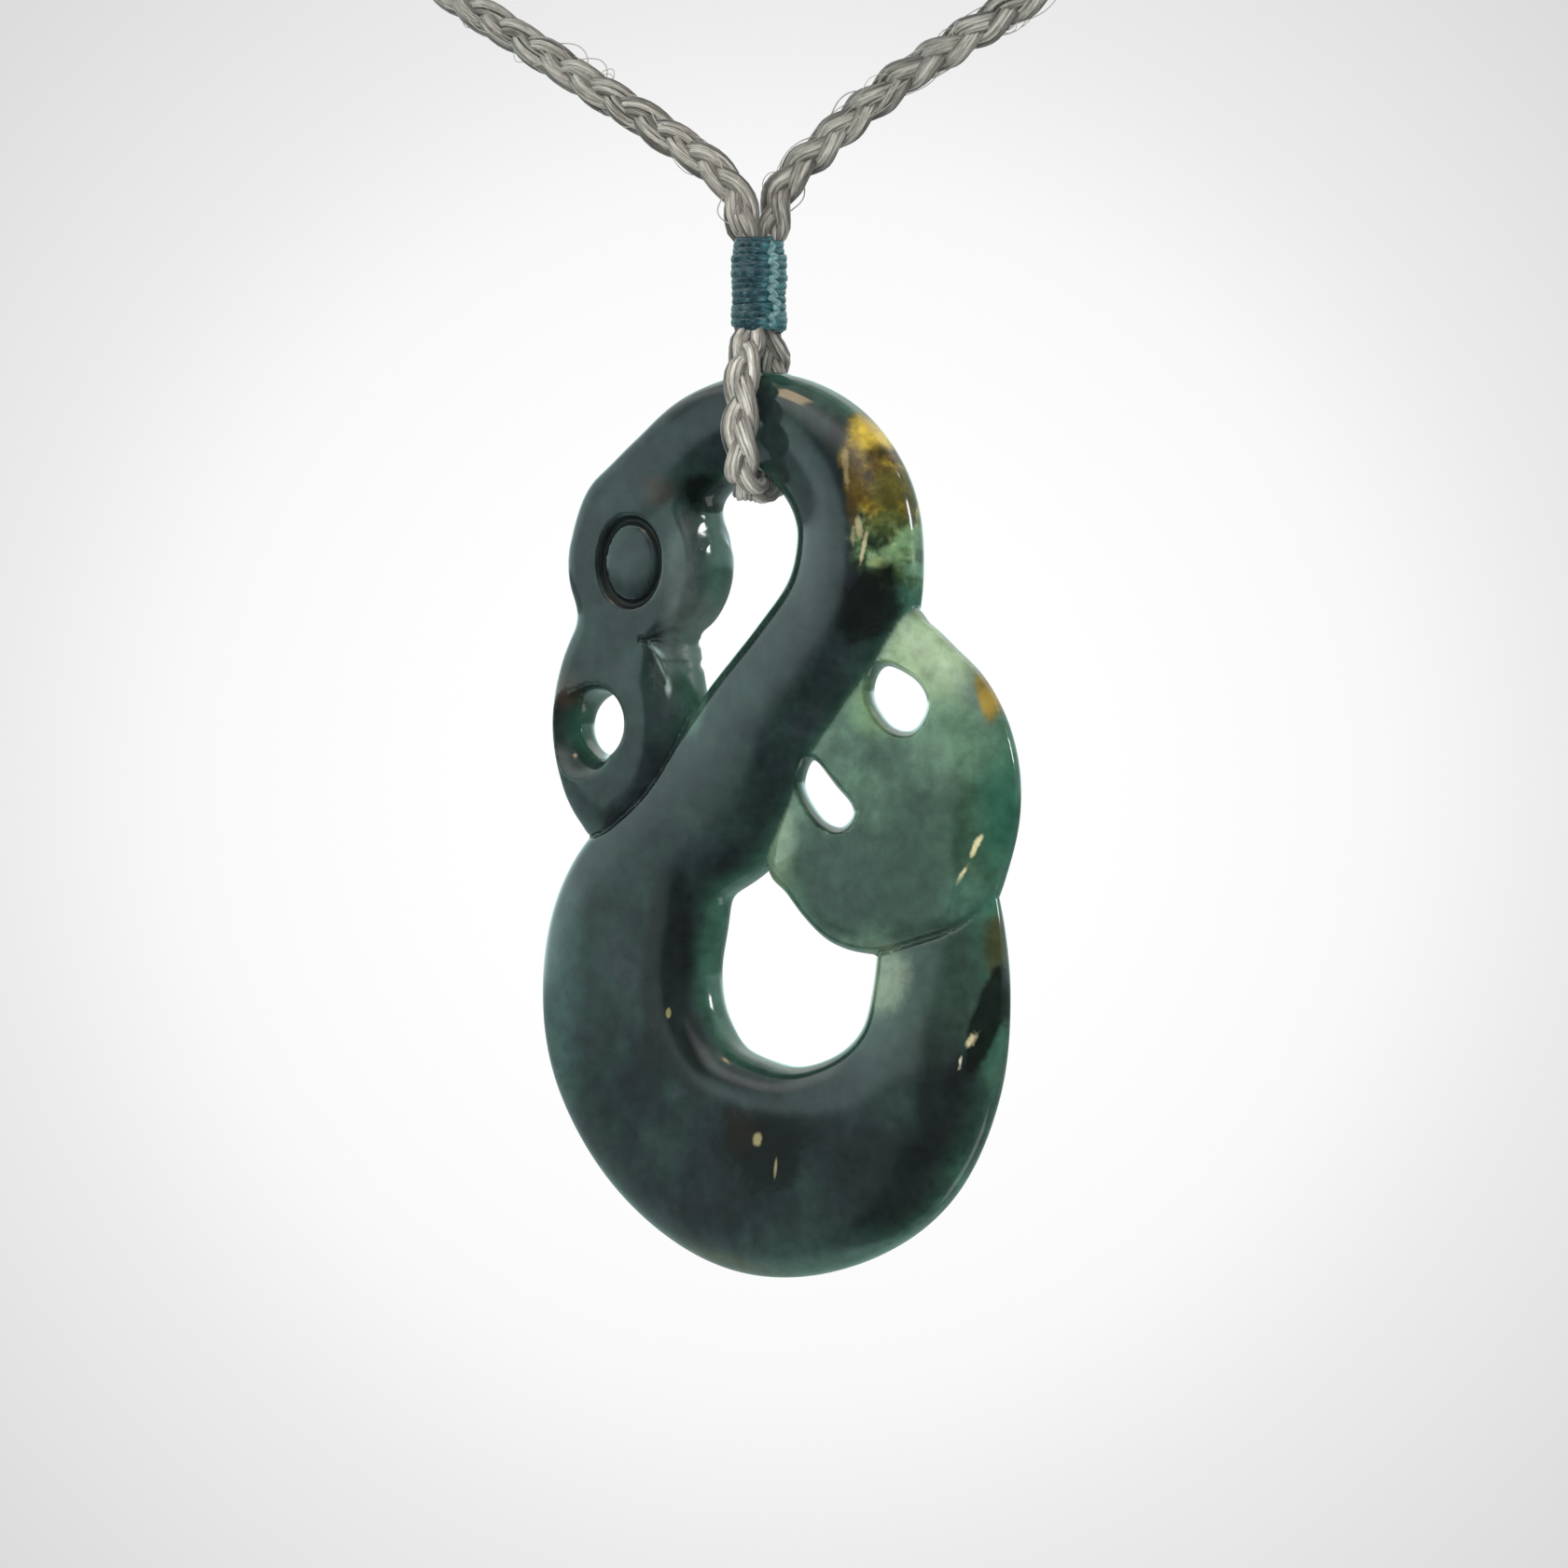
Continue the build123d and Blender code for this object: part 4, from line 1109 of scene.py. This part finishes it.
def plait_fibre():
    """Plaited natural fibre yarn, unglazed: matt warm grey with fine fibres along each yarn."""
    material, tree, shader = new_material("plaited_grey_fibre")
    yarn = add(tree, "Attribute", {"attribute_name": "yarn"}).outputs["Vector"]
    streaks = add(tree, "VectorMath", {"operation": "MULTIPLY", 1: FIBRE_STREAKS}, {0: yarn})
    fibrous = {"Scale": 1.0, "Detail": 5.0, "Roughness": 0.75}
    fibre = add(tree, "TexNoise", fibrous, {"Vector": streaks.outputs[0]}).outputs["Fac"]
    blotches = add(tree, "VectorMath", {"operation": "MULTIPLY", 1: FIBRE_BLOTCHES}, {0: yarn})
    blotch = add(tree, "TexNoise", {"Scale": 1.0, "Detail": 2.0}, {"Vector": blotches.outputs[0]})
    base = add(tree, "ValToRGB", links={"Fac": fibre})
    set_stops(base.color_ramp, ((0.36, "#66625a"), (0.45, "#a09a90"), (0.53, "#c6c1b7"), (0.64, "#e9e5dc")))
    tinting = {"From Min": 0.3, "From Max": 0.7, "To Min": 0.82, "To Max": 1.08}
    tint = add(tree, "MapRange", tinting, {"Value": blotch.outputs["Fac"]})
    # painted shade: the yarns at the strands' sideways edges, where the strands press on each other, are
    # darkened
    gap_shade = add(tree, "Attribute", {"attribute_name": "gap_shade"}).outputs["Fac"]
    shaded_gaps = add(tree, "MapRange", {"To Min": 1.0, "To Max": 0.22}, {"Value": gap_shade})
    coords = add(tree, "TexCoord")
    axes = add(tree, "SeparateXYZ", links={0: coords.outputs["Object"]})
    # painted light: paler below the binding, darker above it
    height_light = {"From Min": PALER_BELOW_FROM, "From Max": PALER_BELOW_TO, "To Min": 1.15, "To Max": 0.88}
    painted_height_light = add(tree, "MapRange", height_light, {"Value": axes.outputs["Z"]})
    colour = base.outputs["Color"]
    for share in (tint, shaded_gaps, painted_height_light):
        shaded = {0: colour, "Scale": share.outputs[0]}
        colour = add(tree, "VectorMath", {"operation": "SCALE"}, shaded).outputs[0]
    tree.links.new(colour, shader.inputs["Base Color"])
    bump = add(tree, "Bump", {"Strength": 0.9, "Distance": 0.00009}, {"Height": fibre})
    tree.links.new(bump.outputs[0], shader.inputs["Normal"])
    shader.inputs["Roughness"].default_value = 0.55
    shader.inputs["Sheen Weight"].default_value = 0.25
    return material


def waxed_thread():
    """Waxed twisted polyester thread, slate, with painted light making its right a brighter teal and
    painted highlights on its half hitches beside real sharp glints.
    """
    material, tree, shader = new_material("waxed_teal_thread")
    yarn = add(tree, "Attribute", {"attribute_name": "yarn"}).outputs["Vector"]
    place = add(tree, "VectorMath", {"operation": "MULTIPLY", 1: THREAD_TWIST}, {0: yarn})
    twisted = {"Scale": 1.0, "Detail": 3.0, "Roughness": 0.6}
    twist = add(tree, "TexNoise", twisted, {"Vector": place.outputs[0]}).outputs["Fac"]
    base = add(tree, "ValToRGB", links={"Fac": twist})
    set_stops(base.color_ramp, ((0.32, "#14262c"), (0.5, "#28434a"), (0.68, "#4e6d73")))
    coords = add(tree, "TexCoord")
    axes = add(tree, "SeparateXYZ", links={0: coords.outputs["Object"]})
    # painted light: the side towards the right is painted a brighter, more saturated teal
    to_lit_side = {"interpolation_type": "SMOOTHSTEP", "From Min": LIT_SIDE_FROM, "From Max": LIT_SIDE_TO}
    side = add(tree, "MapRange", to_lit_side, {"Value": axes.outputs["Y"]})
    teal = {"data_type": "RGBA", "blend_type": "MULTIPLY", 7: (0.62, 1.45, 1.42, 1.0)}
    colour = add(tree, "Mix", teal, {0: side.outputs[0], 6: base.outputs["Color"]}).outputs[2]
    # painted highlights: the half hitches are painted light teal in patches, standing in for their glints
    part = add(tree, "SeparateXYZ", links={0: yarn})
    patchy = add(tree, "Math", {"operation": "ADD"}, {0: part.outputs["Z"], 1: twist}).outputs[0]
    painted_glint = add(tree, "MapRange", {"From Min": 0.9, "From Max": 1.9, "To Max": 0.5}, {"Value": patchy})
    glint_colour = {"data_type": "RGBA", 7: linear("#b4d6d6")}
    colour = add(tree, "Mix", glint_colour, {0: painted_glint.outputs[0], 6: colour}).outputs[2]
    tree.links.new(colour, shader.inputs["Base Color"])
    bump = add(tree, "Bump", {"Strength": 0.7, "Distance": 0.0001}, {"Height": twist})
    tree.links.new(bump.outputs[0], shader.inputs["Normal"])
    shader.inputs["Roughness"].default_value = 0.27
    return material


def clasp_steel():
    """Stainless steel, turned and brushed round its length: a soft band of light with fine rings."""
    material, tree, shader = new_material("brushed_stainless_steel")
    coords = add(tree, "TexCoord")
    # fine rings about 0.1 mm wide
    brushed = {"operation": "MULTIPLY", 1: (9000.0, 60.0, 60.0)}
    rings = add(tree, "VectorMath", brushed, {0: coords.outputs["Object"]})
    fine = {"Scale": 1.0, "Detail": 3.0}
    lines = add(tree, "TexNoise", fine, {"Vector": rings.outputs[0]}).outputs["Fac"]
    uneven = {"From Min": 0.3, "From Max": 0.7, "To Min": 0.24, "To Max": 0.42}
    rough = add(tree, "MapRange", uneven, {"Value": lines})
    tree.links.new(rough.outputs[0], shader.inputs["Roughness"])
    bump = add(tree, "Bump", {"Strength": 0.2, "Distance": 0.00002}, {"Height": lines})
    tree.links.new(bump.outputs[0], shader.inputs["Normal"])
    shader.inputs["Base Color"].default_value = linear("#c9c8c4")
    shader.inputs["Metallic"].default_value = 1.0
    return material


def coat(pieces, material):
    for piece in pieces:
        piece.data.materials.clear()
        piece.data.materials.append(material)


def polar(centre, turn, rise, far):
    """A place around a centre: degrees from the front towards +X, degrees up, millimetres away."""
    a, e = math.radians(turn), math.radians(rise)
    away = Vector((math.sin(a) * math.cos(e), -math.cos(a) * math.cos(e), math.sin(e)))
    return centre + away * far * MM


def make_camera():
    data = bpy.data.cameras.new("camera")
    data.sensor_width = SENSOR_WIDE
    data.lens = SENSOR_WIDE * CAMERA_FAR / FRAME_WIDE
    data.clip_start, data.clip_end = 0.01, 20.0
    camera = bpy.data.objects.new("camera", data)
    turn = math.radians(CAMERA_TURN)
    right = Vector((math.cos(turn), math.sin(turn), 0.0))
    target = Vector((0.0, -REACH, STONE_FOOT + CAMERA_UP)) * MM + right * CAMERA_RIGHT * MM
    away = Vector((math.sin(turn), -math.cos(turn), 0.0))
    camera.location = target + away * CAMERA_FAR * MM
    camera.rotation_mode = "QUATERNION"
    camera.rotation_quaternion = (-away).to_track_quat("-Z", "Y")
    scene.collection.objects.link(camera)
    scene.camera = camera
    return target, away


# Flat lights that face a place beside the target. Brightness is against white paper's 1. The soft boxes
# only light matt surfaces, and the cards and the high lamp show only as reflections.
TARGET_ITSELF = (0.0, 0.0, 0.0)
LAMPS = (
    # name, degrees round, degrees up, mm away, wide and tall, brightness, colour, beside, mirrored, lights
    ("fill_softbox", 20.0, 15.0, 600.0, 450.0, 450.0, 3.5, "#ffffff", TARGET_ITSELF, False, True),
    ("side_softbox", 80.0, 12.0, 600.0, 300.0, 300.0, 2.8, "#ffffff", TARGET_ITSELF, False, True),
    ("warm_card", -29.0, 56.0, 26.0, 7.5, 11.0, 4.8, "#ffd9a8", TOP_BAR, True, False),
    ("window", 124.0, 18.0, 600.0, 95.0, 125.0, 15.0, "#ffffff", TARGET_ITSELF, True, True),
    ("low_card", 142.0, -40.0, 600.0, 180.0, 300.0, 0.9, "#ffffff", TARGET_ITSELF, True, False),
    ("high_lamp", 134.0, 36.0, 600.0, 22.0, 40.0, 9.0, "#ffffff", TARGET_ITSELF, True, False),
)


def make_lamps(target):
    for name, turn, rise, far, wide, tall, brightness, colour, beside, mirrored, lights in LAMPS:
        aimed = target + Vector(beside) * MM
        data = bpy.data.lights.new(name, "AREA")
        data.shape = "RECTANGLE"
        data.size, data.size_y = wide * MM, tall * MM
        data.energy = brightness * math.pi * data.size * data.size_y
        data.color = linear(colour)[:3]
        lamp = bpy.data.objects.new(name, data)
        lamp.location = polar(aimed, turn, rise, far)
        lamp.rotation_mode = "QUATERNION"
        lamp.rotation_quaternion = (aimed - lamp.location).to_track_quat("-Z", "Y")
        lamp.visible_camera = False
        lamp.visible_glossy = mirrored
        lamp.visible_diffuse = lights
        scene.collection.objects.link(lamp)


def grey(level):
    return (level, level, level, 1.0)


def tinted(level):
    return tuple(level * share for share in WALL_TINT) + (1.0,)


# How bright the room is: degrees round from the front towards +X, then degrees up
WALL_BRIGHT = 1.6
WALL_TINT = (0.74, 1.0, 0.98)
WALL_LIGHT = (
    (-180.0, 0.9),
    (-120.0, 1.1),
    (-75.0, 1.2),
    (-52.0, 1.15),
    (-40.0, 0.95),
    (-34.0, 0.72),
    (-28.5, 0.66),
    (-24.0, 0.07),
    (97.0, 0.05),
    (112.0, 0.30),
    (135.0, 0.42),
    (160.0, 0.5),
    (180.0, 0.9),
)
RISE_LIGHT = (
    (-90.0, 0.35),
    (-60.0, 0.38),
    (-28.0, 0.34),
    (-12.0, 0.28),
    (-3.2, 0.24),
    (-2.2, 0.27),
    (-1.1, 0.42),
    (0.2, 0.85),
    (1.5, 1.0),
    (5.0, 0.95),
    (25.0, 0.6),
    (45.0, 0.75),
    (60.0, 0.32),
    (90.0, 0.25),
)
# The bright ceiling comes in upwards and fades to the right
CEILING = (
    # axis of the direction, from, to, brightness before, brightness after
    ("Z", 0.2, 0.55, 0.0, 1.1),
    ("X", 0.2, 0.6, 1.0, 0.2),
)
# The paper behind, from the middle of the view to its corners
PAPER_REACH = 0.13
PAPER = ((0.28, "#ffffff"), (0.513, "#f9f9f9"), (0.669, "#ececec"), (0.95, "#dbdbdb"))


def make_world(away):
    """White paper far behind, greyer towards the frame's corners; a dim room for what the stone mirrors."""
    world = bpy.data.worlds.new("studio")
    world.use_nodes = True
    scene.world = world
    tree = world.node_tree
    tree.nodes.clear()
    direction = add(tree, "TexCoord").outputs["Generated"]
    off_axis = add(tree, "VectorMath", {"operation": "CROSS_PRODUCT", 1: tuple(-away)}, {0: direction})
    spread = add(tree, "VectorMath", {"operation": "LENGTH"}, {0: off_axis.outputs[0]})
    share = add(tree, "Math", {"operation": "DIVIDE", 1: PAPER_REACH}, {0: spread.outputs["Value"]})
    paper = add(tree, "ValToRGB", links={"Fac": share.outputs[0]})
    set_stops(paper.color_ramp, PAPER)
    # what lights the stone: a bright wall from the front left round to the back, and a dark front right
    axes = add(tree, "SeparateXYZ", links={0: direction}).outputs
    front = add(tree, "Math", {"operation": "MULTIPLY", 1: -1.0}, {0: axes["Y"]})
    angle = add(tree, "Math", {"operation": "ARCTAN2"}, {0: axes["X"], 1: front.outputs[0]})
    to_share = {"operation": "MULTIPLY_ADD", 1: 0.5 / math.pi, 2: 0.5}
    turn_share = add(tree, "Math", to_share, {0: angle.outputs[0]})
    wall = add(tree, "ValToRGB", links={"Fac": turn_share.outputs[0]})
    set_stops(wall.color_ramp, [(0.5 + turn / 360.0, tinted(level)) for turn, level in WALL_LIGHT])
    rise_share = add(tree, "Math", {"operation": "MULTIPLY_ADD", 1: 0.5, 2: 0.5}, {0: axes["Z"]})
    rise = add(tree, "ValToRGB", links={"Fac": rise_share.outputs[0]})
    heights = [(0.5 + 0.5 * math.sin(math.radians(up)), grey(level)) for up, level in RISE_LIGHT]
    set_stops(rise.color_ramp, heights)
    ceiling = []
    for axis, start, end, low, high in CEILING:
        ramp = {"interpolation_type": "SMOOTHSTEP", "From Min": start, "From Max": end}
        ramp["To Min"], ramp["To Max"] = low, high
        ceiling.append(add(tree, "MapRange", ramp, {"Value": axes[axis]}).outputs[0])
    high = add(tree, "Math", {"operation": "MULTIPLY"}, {0: ceiling[0], 1: ceiling[1]})
    either = add(tree, "VectorMath", {"operation": "MAXIMUM"}, {0: wall.outputs[0], 1: high.outputs[0]})
    behind = add(tree, "VectorMath", {"operation": "MULTIPLY"}, {0: either.outputs[0], 1: rise.outputs[0]})
    rays = add(tree, "LightPath").outputs["Is Camera Ray"]
    seen = add(tree, "Background", {"Strength": 1.0}, {"Color": paper.outputs["Color"]})
    room = add(tree, "Background", {"Strength": WALL_BRIGHT}, {"Color": behind.outputs[0]})
    both = add(tree, "MixShader", links={0: rays, 1: room.outputs[0], 2: seen.outputs[0]})
    add(tree, "OutputWorld", links={"Surface": both.outputs[0]})


# The table top: how far below the target, and its section from the middle out as radius and drop
BOARD_BELOW = 115.0
BOARD_SIDES = 96
BOARD = ((20.0, 0.0), (470.0, 0.0), (492.0, 3.0), (500.0, 12.0), (500.0, 20.0))


def make_floor():
    """A plain pale round table top below the view."""
    turn = 2.0 * np.pi * np.arange(BOARD_SIDES) / BOARD_SIDES
    centre = np.array((0.0, -REACH, STONE_FOOT + CAMERA_UP - BOARD_BELOW))
    rings = []
    for radius, drop in BOARD:
        ring = np.stack([radius * np.cos(turn), radius * np.sin(turn), np.full(BOARD_SIDES, -drop)], axis=1)
        rings.append(centre + ring)
    points = np.vstack(rings) * MM
    quads = ring_faces(len(BOARD), BOARD_SIDES)[:, ::-1].tolist()
    mesh = bpy.data.meshes.new("table_top")
    mesh.from_pydata(points, [], [list(range(BOARD_SIDES))] + quads)
    mesh.shade_smooth()
    floor = bpy.data.objects.new("table_top", mesh)
    scene.collection.objects.link(floor)
    material, tree, shader = new_material("white_lacquered_board")
    shader.inputs["Base Color"].default_value = linear("#e9e9e7")
    shader.inputs["Roughness"].default_value = 0.6
    coat([floor], material)
    # the polished stone mirrors the room, not the board
    floor.visible_glossy = False


target, away = make_camera()
scene.view_settings.view_transform = "Standard"
make_world(away)
make_floor()
make_lamps(target)
stone = make_stone()
strands = make_plait()
binding = make_binding()
coat([stone], nephrite())
coat(strands, plait_fibre())
coat([binding], waxed_thread())
coat([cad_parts["nape_clasp"]], clasp_steel())

for piece in [stone, binding] + strands:
    print(piece.name, sum(len(p.vertices) - 2 for p in piece.data.polygons), "triangles")
